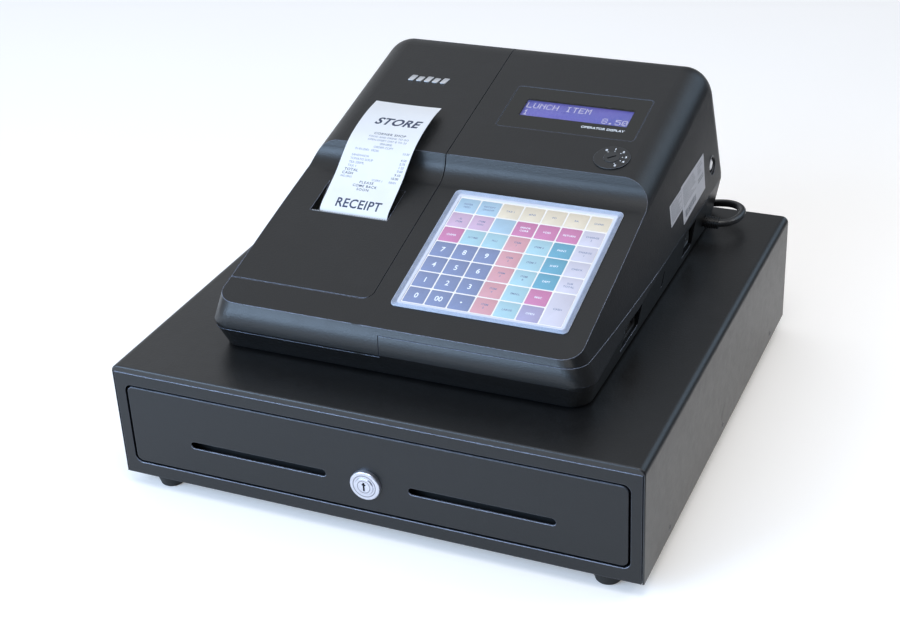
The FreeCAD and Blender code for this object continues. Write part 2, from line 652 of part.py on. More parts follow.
def cover_zone(gap):
    """Space taken by the printer cover, grown by gap.

    The cover swings about the hinge line, so its front edge is cut along the swing direction.
    """
    swing = Vector(0, -(HINGE_Z - COVER_EDGE_Z), HINGE_Y - COVER_Y).normalize()
    drop = 60.0                    # the zone starts this far below the cover's front edge
    x1, r = COVER_X + gap, 8.0 + gap
    y0 = COVER_Y - gap - swing.y / swing.z * drop
    y1 = y0 + 500
    k = r * ARC_INSET
    face = outline_face(lambda x, y: Vector(x, y, COVER_EDGE_Z - drop), [
        ((-REACH, y0), (x1 - r, y0)),
        ((x1 - r, y0), (x1 - k, y0 + k), (x1, y0 + r)),
        ((x1, y0 + r), (x1, y1)),
        ((x1, y1), (-REACH, y1)),
        ((-REACH, y1), (-REACH, y0))])
    side = box(-REACH, x1, 0, COVER_WALL_Y + gap, PART_Z + SEAM - gap, 280)
    side = side.fuse(box(-REACH, x1, COVER_WALL_Y - 1, HINGE_Y, HINGE_Z, 280))
    side = side.fuse(cyl_x(-REACH, x1, HINGE_Y, HINGE_Z, HINGE_TAIL_R + gap))
    return face.extrude(swing * 200.0).common(side)


# ---------------------------------------------------------------- lower case
JACK_Y, JACK_Z = 340, 107              # drawer cable socket in the right-hand tuck
POST_XY = [(x, y) for y in (102, 322) for x in (26, 132)]
CASE_SCREW_XY = ((-124, 92), (128, 84), (-124, 352), (122, 366))
CASE_FEET_XY = ((-118, 70), (114, 68), (-118, 374), (110, 346))


def lower_case():
    zone = box(-REACH, REACH, 0, 450, 80, PART_Z)
    zone = zone.cut(box(-REACH, CHIN_X, 0, CHIN_Y, CHIN_Z, PART_Z + 1))
    lower = SHELL.common(zone)
    # openings in the right-hand tuck: serial port, card slot, cable socket, narrow slot
    lower = lower.cut(box(130, 160, 278.5, 305.5, 102.5, 125.5))
    lower = lower.cut(rounded_box("yz", 120.5, 162.5, 104.0, 123.5, 2.0, 130, 160))
    lower = lower.cut(cyl_x(130, 160, JACK_Y, JACK_Z, 5.0))
    lower = lower.cut(rounded_box("yz", 220.6, 223.4, 105.5, 119.5, 1.3, 140, 160))
    # board posts
    for x, y in POST_XY:
        lower = fuse(lower, cyl_z(BOT_Z + 1, 102.9, x, y, 3.2))
        lower = lower.cut(cyl_z(BOT_Z + 3, 110, x, y, 1.3))
    # screw bosses, counterbored from below
    for x, y in CASE_SCREW_XY:
        lower = fuse(lower, cyl_z(BOT_Z, 104.0, x, y, 5.6))
        lower = lower.cut(cyl_z(BOT_Z - 1, 120, x, y, 1.8)).cut(cyl_z(BOT_Z - 1, 99.0, x, y, 3.6))
    # foot seats
    for x, y in CASE_FEET_XY:
        lower = lower.cut(cyl_z(BOT_Z - 1, BOT_Z + 0.6, x, y, 7.2))
    # cooling slots in the floor
    for i in range(9):
        y = 120 + i * 9.0
        lower = lower.cut(rounded_box("xy", 40, 110, y, y + 3.0, 1.45,
                                      BOT_Z - 1, BOT_Z + WALL + 0.2))
    return lower


# ---------------------------------------------------------------- upper case
# rectangles on the deck and the panel: x0, x1, then the distances up the slope
KEY_FRAME = (-7.0, 126.8, deck_up(69.0), deck_up(196.0))
KEY_FIELD = (-0.4, 121.2, deck_up(73.8), deck_up(189.0))
WINDOW = (0.6, 113.0, panel_up(257.5), panel_up(311.0))
LCD = (13.7, 102.3, panel_up(274.0), panel_up(296.0))
REAR_DISPLAY = (-13.0, 92.0, 152.0, 184.0)            # x0, x1, z0, z1 on the rear wall
MODE_X, MODE_UP = 103.9, panel_up(234.3)              # mode lock axis on the panel
SWITCH_Y, SWITCH_Z = 355.0, 151.0                     # power switch axis, right wall
HINGE_PIN_R = 2.5


def upper_case():
    zone = box(-REACH, REACH, 0, 450, PART_Z + SEAM, 280)
    zone = zone.fuse(box(-REACH, CHIN_X - SEAM, 0, CHIN_Y - SEAM, CHIN_Z + SEAM, PART_Z + 2))
    upper = SHELL.common(zone)
    inner = SHELL_IN.common(box(-REACH, REACH, 0, 450, PART_Z + SEAM + 0.6, 280))
    # wall of the printer bay and the ledge the cover's front edge rests on
    bay_x1 = COVER_X + 3.4
    bay = box(COVER_X + 1.4, bay_x1, 48, 368, 131, 260)
    ledge = on_deck(box(-160, bay_x1, deck_up(60), deck_up(COVER_Y) + 5.0, -5.0, -2.9))
    upper = upper.cut(cover_zone(COVER_GAP))
    upper = fuse(upper, inner.common(bay), inner.common(ledge))
    # hinge brackets reaching forward from the rear wall
    bracket_outline = [(347.0, 213), (357.0, 213), (357.5, 194),           # y, z
                       (389.5, 186), (390.2, 168), (350, 186)]
    for x0, x1 in ((-122.4, -119.0), (-36.0, -32.6)):
        bracket = prism_x(bracket_outline, x0, x1).fuse(cyl_x(x0, x1, HINGE_Y, HINGE_Z, 6.0))
        upper = fuse(upper, bracket.common(body(1.0)))
        upper = upper.cut(cyl_x(x0 - 1, x1 + 1, HINGE_Y, HINGE_Z, HINGE_PIN_R))
    # keyboard opening
    upper = upper.cut(on_deck(box(1.0, 119.0, KEY_FIELD[2] + 1.5, KEY_FIELD[3] - 1.5, -6, 6)))
    # display window seat and the hole behind it
    upper = upper.cut(on_panel(rounded_box("xy", *grown(WINDOW, 0.35), 3.3, -1.7, 6)))
    upper = upper.cut(on_panel(box(*grown(LCD, 4), -6, 6)))
    # holes for the mode lock, the power switch and the customer display
    upper = upper.cut(on_panel(cyl_z(-20, 6, MODE_X, MODE_UP, 7.3)))
    upper = upper.cut(cyl_x(138, 160, SWITCH_Y, SWITCH_Z, 8.05))
    return upper.cut(rounded_box("xz", *grown(REAR_DISPLAY, 0.3), 3.0, 380, 400))


# ---------------------------------------------------------------- printer cover
EXIT_X0, EXIT_X1 = -111.6, -46.4       # paper exit recess
EXIT_UP0, EXIT_UP1 = deck_up(152), deck_up(187)


def printer_cover():
    zone = cover_zone(0.0)
    cover = SHELL.common(zone)
    # paper exit: a wedge recess rising to the rear, with the paper slot at its deep end
    a, b = EXIT_UP0, EXIT_UP1
    pocket = prism_x([(a - 2.2, -1.0), (a - 2.2, -14.0), (a + 4.6, -14.4),
                      (b + 3.0, -2.2), (b + 3.0, -1.0)], EXIT_X0 - 2, EXIT_X1 + 2)
    recess = prism_x([(a, 6.0), (a, -12.0), (a + 4.0, -12.2), (b, 0.0), (b, 6.0)],
                     EXIT_X0, EXIT_X1)
    cover = fuse(cover, on_deck(pocket).common(body(0.6)))
    cover = cover.cut(on_deck(recess))
    cover = cover.cut(on_deck(box(EXIT_X0 + 2.0, EXIT_X1 - 1.0, a, a + 3.8, -16, -8)))
    # stiffening ribs under the cover
    for x in (-128.0, -34.0):
        rib = prism_x([(90, 100), (90, 240), (330, 240), (330, 100)], x, x + 1.6)
        rib = rib.common(body(2.0)).cut(body(8.0))
        cover = fuse(cover, rib.common(zone))
    # hinge ears
    ear_outline = [(346.0, 214), (358.0, 214), (358.0, 235), (325.0, 235), (325.0, 219)]
    for x0, x1 in ((-127.0, -123.0), (-31.6, -27.6)):
        ear = prism_x(ear_outline, x0, x1).common(body(1.5)).common(zone)
        ear = ear.fuse(cyl_x(x0, x1, HINGE_Y, HINGE_Z, 6.0))
        cover = fuse(cover, ear)
        cover = cover.cut(cyl_x(x0 - 1, x1 + 1, HINGE_Y, HINGE_Z, HINGE_PIN_R + 0.06))
    return cover


def cover_hinge_pins():
    return Part.makeCompound([cyl_x(x0, x1, HINGE_Y, HINGE_Z, HINGE_PIN_R)
                              for x0, x1 in ((-128.5, -119.0), (-36.0, -26.4))])


def tear_bar():
    """Bar with a serrated top edge at the front lip of the recess."""
    teeth = 30
    x0, x1 = EXIT_X0 + 1.0, EXIT_X1 - 1.0
    root, tip, low = -0.3, 0.6, -7.5
    pitch = (x1 - x0) / teeth
    points = [(x0, low)]
    for i in range(teeth):
        points += [(x0 + i * pitch, root), (x0 + (i + 0.5) * pitch, tip)]
    points += [(x1, root), (x1, low)]
    return on_deck(prism([(x, EXIT_UP0 + 0.02, z) for x, z in points], (0, 0.7, 0)))


# centre line of the receipt from inside the slot to its free end: y, z
RECEIPT_PATH = [(156.6, 151.5), (155.2, 158.0), (155.3, 163.5), (158.8, 168.0),
                (168.4, 173.2), (183.0, 183.6), (191.0, 192.6), (200.0, 200.5),
                (208.5, 206.0), (226.0, 211.0), (244.0, 214.5), (261.0, 216.5)]


def receipt():
    """Paper strip leaving the slot and lying back over the cover."""
    half_t = 0.30 / 2
    upper, under = [], []
    for i, (y, z) in enumerate(RECEIPT_PATH):
        y0, z0 = RECEIPT_PATH[max(i - 1, 0)]
        y1, z1 = RECEIPT_PATH[min(i + 1, len(RECEIPT_PATH) - 1)]
        length = math.hypot(y1 - y0, z1 - z0)
        dy, dz = -(z1 - z0) / length * half_t, (y1 - y0) / length * half_t
        upper.append((y + dy, z + dz))
        under.append((y - dy, z - dz))
    return prism_x(upper + under[::-1], -105.0, -48.0)


# ---------------------------------------------------------------- keyboard
def keyboard_frame():
    frame = rounded_box("xy", *KEY_FRAME, 4.0, 0.05, 1.0)
    frame = frame.makeFillet(0.4, edges_at(frame, "z", 1.0))
    return on_deck(frame.cut(rounded_box("xy", *KEY_FIELD, 1.2, -1, 3)))


def key_legend_sheet():
    return on_deck(rounded_box("xy", *grown(KEY_FIELD, -0.15), 1.0, 0.05, 0.55))


def keyboard_board():
    return on_deck(box(1.3, 118.7, KEY_FIELD[2] + 1.8, KEY_FIELD[3] - 1.8, -2.45, -0.02))


def keyboard_backplate():
    up0, up1 = KEY_FRAME[2:]
    plate = on_deck(box(-9, 129, up0 - 1, up1 - 3.5, -4.2, -2.75))
    for up in (up0 + 3, up1 - 8):
        for x in (-6, 126):
            plate = plate.cut(on_deck(cyl_z(-10, 5, x, up, 1.6)))
    return plate


# ---------------------------------------------------------------- displays
def display_window():
    return on_panel(rounded_box("xy", *WINDOW, 3.0, -1.6, -0.12))


def lcd_module():
    x0, x1, up0, up1 = LCD
    return on_panel(fuse(box(*grown(LCD, 3), -6.0, -1.75),
                         box(x0 - 10, x1 + 9, up0 - 12, up1 + 12, -7.6, -4.9)))


def customer_display():
    """Window following the rear wall, with a block behind it."""
    x0, x1, z0, z1 = REAR_DISPLAY
    window = rounded_box("xz", x0, x1, z0, z1, 2.8, 370, 400)
    window = window.common(body(0.15)).cut(body(2.6))
    block = box(x0 + 6, x1 - 6, 374, 391.5, z0 + 5, z1 - 5)
    return fuse(window, block.common(body(2.2)))


# ---------------------------------------------------------------- mode lock
def mode_lock_bezel():
    bezel = cyl_z(0.05, 0.95, MODE_X, MODE_UP, 14.0)
    bezel = bezel.makeFillet(0.35, edges_at(bezel, "z", 0.95))
    bezel = fuse(bezel, cyl_z(-14.0, 0.5, MODE_X, MODE_UP, 7.2))
    return on_panel(bezel.cut(cyl_z(-20, 3, MODE_X, MODE_UP, 6.3)))


def mode_lock_rotor():
    rotor = cyl_z(-16.0, 1.5, MODE_X, MODE_UP, 6.25)
    rotor = rotor.makeFillet(0.4, edges_at(rotor, "z", 1.5))
    keyway = box(MODE_X - 3.6, MODE_X + 3.6, MODE_UP - 0.7, MODE_UP + 0.7, -8, 4)
    keyway.rotate(Vector(MODE_X, MODE_UP, 0), Vector(0, 0, 1), 38.0)
    rotor = rotor.cut(keyway)
    return on_panel(fuse(rotor, cyl_z(-19.0, -15.5, MODE_X, MODE_UP, 2.5)))


def mode_lock_switch():
    switch = fuse(box(MODE_X - 12, MODE_X + 12, MODE_UP - 11, MODE_UP + 11, -26, -16.6),
                  cyl_z(-16.8, -14.1, MODE_X, MODE_UP, 9.0))
    switch = switch.cut(cyl_z(-19.4, -10, MODE_X, MODE_UP, 2.6))
    return on_panel(switch.cut(cyl_z(-16.4, -10, MODE_X, MODE_UP, 6.4)))


# ---------------------------------------------------------------- power switch
ROCKER_X = 141.5                       # upright axis the rocker tilts on


def power_switch_body():
    switch = fuse(cyl_x(132.0, 147.6, SWITCH_Y, SWITCH_Z, 7.8),
                  cyl_x(147.0, 148.9, SWITCH_Y, SWITCH_Z, 7.98))
    switch = switch.cut(cyl_x(137.5, 160, SWITCH_Y, SWITCH_Z, 6.5))
    return fuse(switch, cyl_z(SWITCH_Z - 7.2, SWITCH_Z + 7.2, ROCKER_X, SWITCH_Y, 1.0))


def power_rocker():
    rocker = cyl_x(138.6, 148.6, SWITCH_Y, SWITCH_Z, 5.6)
    rocker = rocker.common(Part.makeSphere(7.6, Vector(141.8, SWITCH_Y, SWITCH_Z)))
    return rocker.cut(cyl_z(SWITCH_Z - 9, SWITCH_Z + 9, ROCKER_X, SWITCH_Y, 1.06))


# ---------------------------------------------------------------- register feet and screws
def case_feet():
    return Part.makeCompound([cyl_z(CASING_H, BOT_Z + 0.55, x, y, 7.0) for x, y in CASE_FEET_XY])


def case_screws():
    screws = []
    for x, y in CASE_SCREW_XY:
        screw = fuse(cyl_z(96.4, 98.9, x, y, 3.2), cyl_z(98.0, 112.0, x, y, 1.7))
        screws.append(cut_cross(screw, x, y, 2.2, 0.4, 96, 97.4))
    return Part.makeCompound(screws)


# ---------------------------------------------------------------- electronics
BOARD_Z0, BOARD_Z1 = 103.0, 104.6
# components on the main board: x0, x1, y0, y1, top z
BOARD_BLOCKS = ((60, 88, 150, 178, 107.4), (40, 52, 196, 214, 106.8), (62, 74, 200, 222, 106.8),
                (30, 60, 240, 250, 113.0), (92, 112, 230, 250, 112.6), (28, 50, 300, 309, 114.0),
                (100, 118, 120, 134, 108.0))
# round components: x, y, radius, top z
BOARD_CANS = ((100, 290, 5.0, 118), (86, 290, 5.0, 118), (44, 130, 6.0, 111), (72, 290, 4.0, 116))


def main_board():
    """Board and its components, each a separate solid."""
    board = box(20, 138, 95, 330, BOARD_Z0, BOARD_Z1)
    for x, y in POST_XY:
        board = board.cut(cyl_z(100, 106, x, y, 1.7))
    blocks = [box(x0, x1, y0, y1, BOARD_Z1, top) for x0, x1, y0, y1, top in BOARD_BLOCKS]
    cans = [cyl_z(BOARD_Z1, top, x, y, r) for x, y, r, top in BOARD_CANS]
    return Part.makeCompound([board] + blocks + cans)


def power_supply():
    top = 103.0                    # upper face of its board
    return fuse(box(30, 104, 338, 378, 101.0, top),
                box(36, 66, 342, 374, top, 134.0),
                box(72, 92, 346, 370, top, 122.0),
                cyl_z(top, 128.0, 98, 358, 5.0))


def serial_port():
    port = fuse(box(128, 141, 281, 303, 104.8, 121.0),
                box(139.5, 140.9, 279.2, 304.8, 103.0, 125.0),
                rounded_box("yz", 284, 300, 107.5, 118.5, 2.5, 140.0, 146.2))
    port = port.cut(rounded_box("yz", 285, 299, 108.5, 117.5, 1.8, 141.5, 150))
    # two rows of contact pins: count, first y, z
    for count, y, z in ((5, 287.2, 114.6), (4, 288.4, 111.4)):
        for i in range(count):
            port = fuse(port, cyl_x(141.0, 145.0, y + i * 2.4, z, 0.5))
    return port


def card_slot():
    slot_body = rounded_box("yz", 121.0, 162.0, 104.5, 123.0, 1.8, 128, 145.6)
    slot_body = slot_body.cut(rounded_box("yz", 124.0, 159.0, 107.0, 120.5, 1.4, 143.2, 150))
    slot_body = slot_body.cut(box(131, 150, 128, 154, 112.2, 115.4))
    return slot_body.cut(box(120, 139.9, 100, 180, 100, 130)).common(body(0.5))


# ---------------------------------------------------------------- printer
MODULE = 0.8                           # gear module
PLATEN_TEETH, IDLER_TEETH, PINION_TEETH = 24, 20, 12
PLATEN_PITCH_R = MODULE * PLATEN_TEETH / 2
IDLER_PITCH_R = MODULE * IDLER_TEETH / 2
PINION_PITCH_R = MODULE * PINION_TEETH / 2
GEAR_X0, GEAR_X1 = -43.2, -39.8
PLATEN_Y, PLATEN_Z, PLATEN_R = 158.0, 138.0, 6.0
IDLER_OFFSET = 12.0                    # idler ahead of the platen; its height closes the mesh
IDLER_Y = PLATEN_Y - IDLER_OFFSET
IDLER_Z = PLATEN_Z - math.sqrt((PLATEN_PITCH_R + IDLER_PITCH_R) ** 2 - IDLER_OFFSET ** 2)
PINION_Y, PINION_Z = IDLER_Y, IDLER_Z - (IDLER_PITCH_R + PINION_PITCH_R)
# the platen gear has a tooth on the line of centres, the idler a gap
PLATEN_PHASE = math.atan2(IDLER_Z - PLATEN_Z, IDLER_Y - PLATEN_Y)
IDLER_PHASE = math.atan2(PLATEN_Z - IDLER_Z, PLATEN_Y - IDLER_Y) + math.pi / IDLER_TEETH
# flanks of one tooth: share of the pitch angle from its centre, radius from the pitch circle
TOOTH = ((-0.27, -1.15 * MODULE), (-0.225, 0.0), (-0.11, 0.80 * MODULE),
         (0.11, 0.80 * MODULE), (0.225, 0.0), (0.27, -1.15 * MODULE))
ROLL_Y, ROLL_Z = 245.0, 137.5          # paper roll axis


def gear(teeth, y, z, phase):
    """Spur gear about X; phase is the angle from +Y towards +Z of one tooth's centre."""
    pitch = 2 * math.pi / teeth
    points = []
    for i in range(teeth):
        for share, height in TOOTH:
            angle = phase + pitch * i + share * pitch
            r = MODULE * teeth / 2.0 + height
            points.append((y + r * math.cos(angle), z + r * math.sin(angle)))
    return prism_x(points, GEAR_X0, GEAR_X1)


def platen_roller():
    return fuse(cyl_x(-109.0, -49.0, PLATEN_Y, PLATEN_Z, PLATEN_R),
                cyl_x(-115.5, -39.0, PLATEN_Y, PLATEN_Z, 1.95),
                gear(PLATEN_TEETH, PLATEN_Y, PLATEN_Z, PLATEN_PHASE))


def idler_gear():
    wheel = gear(IDLER_TEETH, IDLER_Y, IDLER_Z, IDLER_PHASE)
    return wheel.cut(cyl_x(-50, -30, IDLER_Y, IDLER_Z, 1.55))


def motor_pinion():
    # where the line of centres falls within the idler's pitch decides the pinion's phase
    towards_pinion = math.atan2(PINION_Z - IDLER_Z, PINION_Y - IDLER_Y)
    pitches = (towards_pinion - IDLER_PHASE) / (2 * math.pi / IDLER_TEETH)
    past_tooth = pitches - math.floor(pitches)
    phase = (towards_pinion + math.pi + past_tooth * (2 * math.pi / PINION_TEETH)
             + math.pi / PINION_TEETH)
    return fuse(gear(PINION_TEETH, PINION_Y, PINION_Z, phase),
                cyl_x(-45.0, -37.0, PINION_Y, PINION_Z, 1.2))


def printer_frame():
    x0, x1, y0, y1, z0, z1, plate = -113.5, -44.5, 128, 182, 99.0, 142.0, 1.5
    frame = fuse(box(x0, x1, y0, y1, z0, z0 + plate),
                 box(x0, x0 + plate, y0, y1, z0, z1),
                 box(x1 - plate, x1, y0, y1, z0, z1),
                 cyl_x(-44.6, -39.2, IDLER_Y, IDLER_Z, 1.5))
    frame = frame.cut(cyl_x(-120, -43, PLATEN_Y, PLATEN_Z, 2.0))
    frame = frame.cut(cyl_x(-50, -43, PINION_Y, PINION_Z, 1.6))
    for y in (134, 176):
        for x in (-105, -53):
            frame = frame.cut(cyl_z(98, 102, x, y, 1.6))
    return frame


def print_head():
    return fuse(box(-107, -51, 149.4, 151.85, 128, 143),
                box(-111.9, -46.1, 146.4, 149.4, 124, 145),
                box(-100, -58, 140, 146.6, 132, 138))


def stepper_motor():
    y, z = PINION_Y, PINION_Z
    motor = fuse(cyl_x(-37.0, -26.0, y, z, 10.5), box(-38.2, -37.0, y - 16, y + 16, z - 3, z + 3))
    return motor.cut(cyl_x(-40, -36.6, y, z, 1.35))


def paper_cradle():
    cradle = cyl_x(-112.5, -45.5, ROLL_Y, ROLL_Z, 36.5)
    cradle = cradle.fuse(box(-112.5, -45.5, ROLL_Y - 22, ROLL_Y + 22, 98.3, 120))
    cradle = cradle.cut(cyl_x(-109.5, -48.5, ROLL_Y, ROLL_Z, 34.0))
    return cradle.common(box(-120, -40, 190, 300, 98.3, ROLL_Z - 2)).removeSplitter()


def paper_roll():
    roll = cyl_x(-107.5, -50.5, ROLL_Y, ROLL_Z, 33.9)
    return roll.cut(cyl_x(-120, -40, ROLL_Y, ROLL_Z, 6.5))


# ---------------------------------------------------------------- drawer cable
# centre line from the socket round the unit's right rear corner into the casing: x, y, z
CABLE_PATH = [
    (147.0, JACK_Y, JACK_Z), (158.0, 339.9, 107.0), (166.0, 342.8, 107.2),
    (171.4, 350.0, 107.4), (173.4, 360.0, 107.4), (172.0, 369.8, 107.0),
    (167.0, 377.4, 106.5), (160.0, 382.0, 105.7), (152.5, 385.2, 104.0),
    (144.5, 388.6, 101.4), (137.0, 391.6, 98.9), (130.5, 394.4, 97.8),
    (123.5, 398.2, 97.2), (119.2, 400.9, 92.5), (CABLE_X, CABLE_BACK_Y, 84),
    (CABLE_X, CABLE_BACK_Y, 73), (CABLE_X, 400.0, 65.0), (CABLE_X, 396.5, 61.6),
    (CABLE_X, 388.0, CABLE_Z)]


def cable_pipe(r):
    curve = Part.BSplineCurve()
    curve.interpolate([Vector(*p) for p in CABLE_PATH])
    direction = curve.tangent(curve.FirstParameter)[0]
    section = Part.Wire([Part.makeCircle(r, Vector(*CABLE_PATH[0]), direction)])
    return Part.Wire([curve.toShape()]).makePipeShell([section], True, True)


def cable_grommet():
    """Grommet in the casing's back, hugging the cable."""
    grommet = fuse(cyl_y(395.0, 397.9, CABLE_X, CABLE_Z, 5.5),
                   cyl_y(397.05, 399.0, CABLE_X, CABLE_Z, 7.6),
                   cyl_y(393.8, 395.7, CABLE_X, CABLE_Z, 7.2))
    return grommet.cut(cable_pipe(CABLE_R + 0.08))


def drawer_cable():
    """Cable with a ribbed boot and a plug in the socket."""
    sleeve = cyl_x(143.0, 160.5, JACK_Y, JACK_Z, 4.2)
    ribs = [cyl_x(149.6 + i * 1.9, 150.6 + i * 1.9, JACK_Y, JACK_Z, 5.4 - 0.12 * i)
            for i in range(6)]
    boot = fuse(sleeve, *ribs)
    return fuse(cable_pipe(CABLE_R), boot, cyl_x(136.0, 146.0, JACK_Y, JACK_Z, 4.6))


# ================================================================ output
# each piece's file takes the name of the function that builds it
for piece in (
        drawer_casing, drawer_base_pan, drawer_front_frame, casing_feet, casing_screws,
        slide_rails, front_rollers, rear_rollers, drawer_front_panel, drawer_tray,
        till_insert, clip_axle, coin_cups, drawer_lock_housing, drawer_lock_plug, lock_cam,
        latch_striker, latch_bracket, latch_lever, solenoid_plunger, latch_solenoid,
        ejector_spring, lower_case, upper_case, printer_cover, cover_hinge_pins, tear_bar,
        receipt, keyboard_frame, key_legend_sheet, keyboard_board, keyboard_backplate,
        display_window, lcd_module, customer_display, mode_lock_bezel, mode_lock_rotor,
        mode_lock_switch, power_switch_body, power_rocker, case_feet, case_screws,
        main_board, power_supply, serial_port, card_slot, platen_roller, idler_gear,
        motor_pinion, printer_frame, print_head, stepper_motor, paper_cradle, paper_roll,
        cable_grommet, drawer_cable):
    put(piece.__name__, piece())
for number, (x0, x1) in enumerate(BAYS, 1):
    put("note_clip_%d" % number, note_clip(x0, x1))
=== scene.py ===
# A cash register standing on its cash drawer, with keyboard deck, displays and printed receipt.
# The scene is in metres: x runs to the right as seen from the front, y from front to back, z up,
# with the floor at z = 0. Shapes are drawn in millimetres and placed by functions that map
# (across, along, off the surface) to the scene.
import bisect
import math
import random

import bmesh
import bpy
from mathutils import Matrix, Vector
from mathutils.bvhtree import BVHTree


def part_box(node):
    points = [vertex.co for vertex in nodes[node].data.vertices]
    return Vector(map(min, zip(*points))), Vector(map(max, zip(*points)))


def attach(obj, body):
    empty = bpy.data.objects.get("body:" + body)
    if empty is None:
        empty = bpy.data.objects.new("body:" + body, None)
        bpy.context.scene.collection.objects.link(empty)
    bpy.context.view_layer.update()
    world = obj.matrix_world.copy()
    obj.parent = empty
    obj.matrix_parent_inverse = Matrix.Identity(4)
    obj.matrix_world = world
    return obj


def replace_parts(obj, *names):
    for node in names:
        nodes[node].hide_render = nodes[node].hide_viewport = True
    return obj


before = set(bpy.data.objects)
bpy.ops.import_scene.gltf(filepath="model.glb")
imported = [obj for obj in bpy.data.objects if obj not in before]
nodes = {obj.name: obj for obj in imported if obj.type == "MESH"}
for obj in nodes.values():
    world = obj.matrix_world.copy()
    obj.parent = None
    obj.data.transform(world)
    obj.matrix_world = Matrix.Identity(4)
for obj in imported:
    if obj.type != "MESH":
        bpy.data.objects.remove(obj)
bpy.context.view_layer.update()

random.seed(11)
scene = bpy.context.scene

# ------------------------------------------------------------------ frames, in millimetres
MM = 0.001
FRONT_TO_ORIGIN = 200.0     # from the drawer's front face back to y = 0
CASING_HEIGHT = 12.0        # underside of the drawer casing above the floor
DECK_Y, DECK_Z, DECK_TILT = 50.0, 137.0, math.radians(15.1)         # keyboard deck's front edge
PANEL_Y, PANEL_Z, PANEL_TILT = 214.5, 196.5, math.radians(13.1)     # upper panel's front edge


def from_drawer(x, y, z):
    """Millimetres from the drawer's front face and the casing's underside, to the scene."""
    return Vector((x * MM, (y - FRONT_TO_ORIGIN) * MM, (z + CASING_HEIGHT) * MM))


def sloping_face(y0, z0, tilt):
    """Placing function for a face that rises to the back from (y0, z0)."""
    def place(x, along, off=0.0):
        return from_drawer(x, y0 + along * math.cos(tilt) - off * math.sin(tilt),
                           z0 + along * math.sin(tilt) + off * math.cos(tilt))
    return place


deck = sloping_face(DECK_Y, DECK_Z, DECK_TILT)
panel = sloping_face(PANEL_Y, PANEL_Z, PANEL_TILT)


def panel_along(y):
    """Distance up the panel of the point at depth y behind the drawer's front."""
    return (y - PANEL_Y) / math.cos(PANEL_TILT)


def deck_range(node, bottom, top):
    """x0, x1 and near and far edge of a plate lying in the deck, from its CAD box."""
    low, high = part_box(node)
    y0, y1 = low.y / MM + FRONT_TO_ORIGIN, high.y / MM + FRONT_TO_ORIGIN
    near = (y0 - DECK_Y + top * math.sin(DECK_TILT)) / math.cos(DECK_TILT)
    far = (y1 - DECK_Y + bottom * math.sin(DECK_TILT)) / math.cos(DECK_TILT)
    return low.x / MM, high.x / MM, near, far


# Ribs of the keyboard border, as fractions of the way from its outer to its inner edge
RIBS, RIB_START, RIB_PITCH = 6, 0.07, 0.083

# Lit area of the operator display, on the panel
SCREEN_X0, SCREEN_X1 = 13.7, 102.3
SCREEN_NEAR, SCREEN_FAR = panel_along(274.0), panel_along(296.0)
SCREEN_COLUMNS = 16


# ------------------------------------------------------------------ shader building
PRINCIPLED = {
    "metallic": "Metallic", "specular": "Specular IOR Level", "ior": "IOR",
    "coat": "Coat Weight", "coat_rough": "Coat Roughness",
    "subsurface": "Subsurface Weight", "subsurface_radius": "Subsurface Radius",
    "emission": "Emission Color", "emission_strength": "Emission Strength",
}


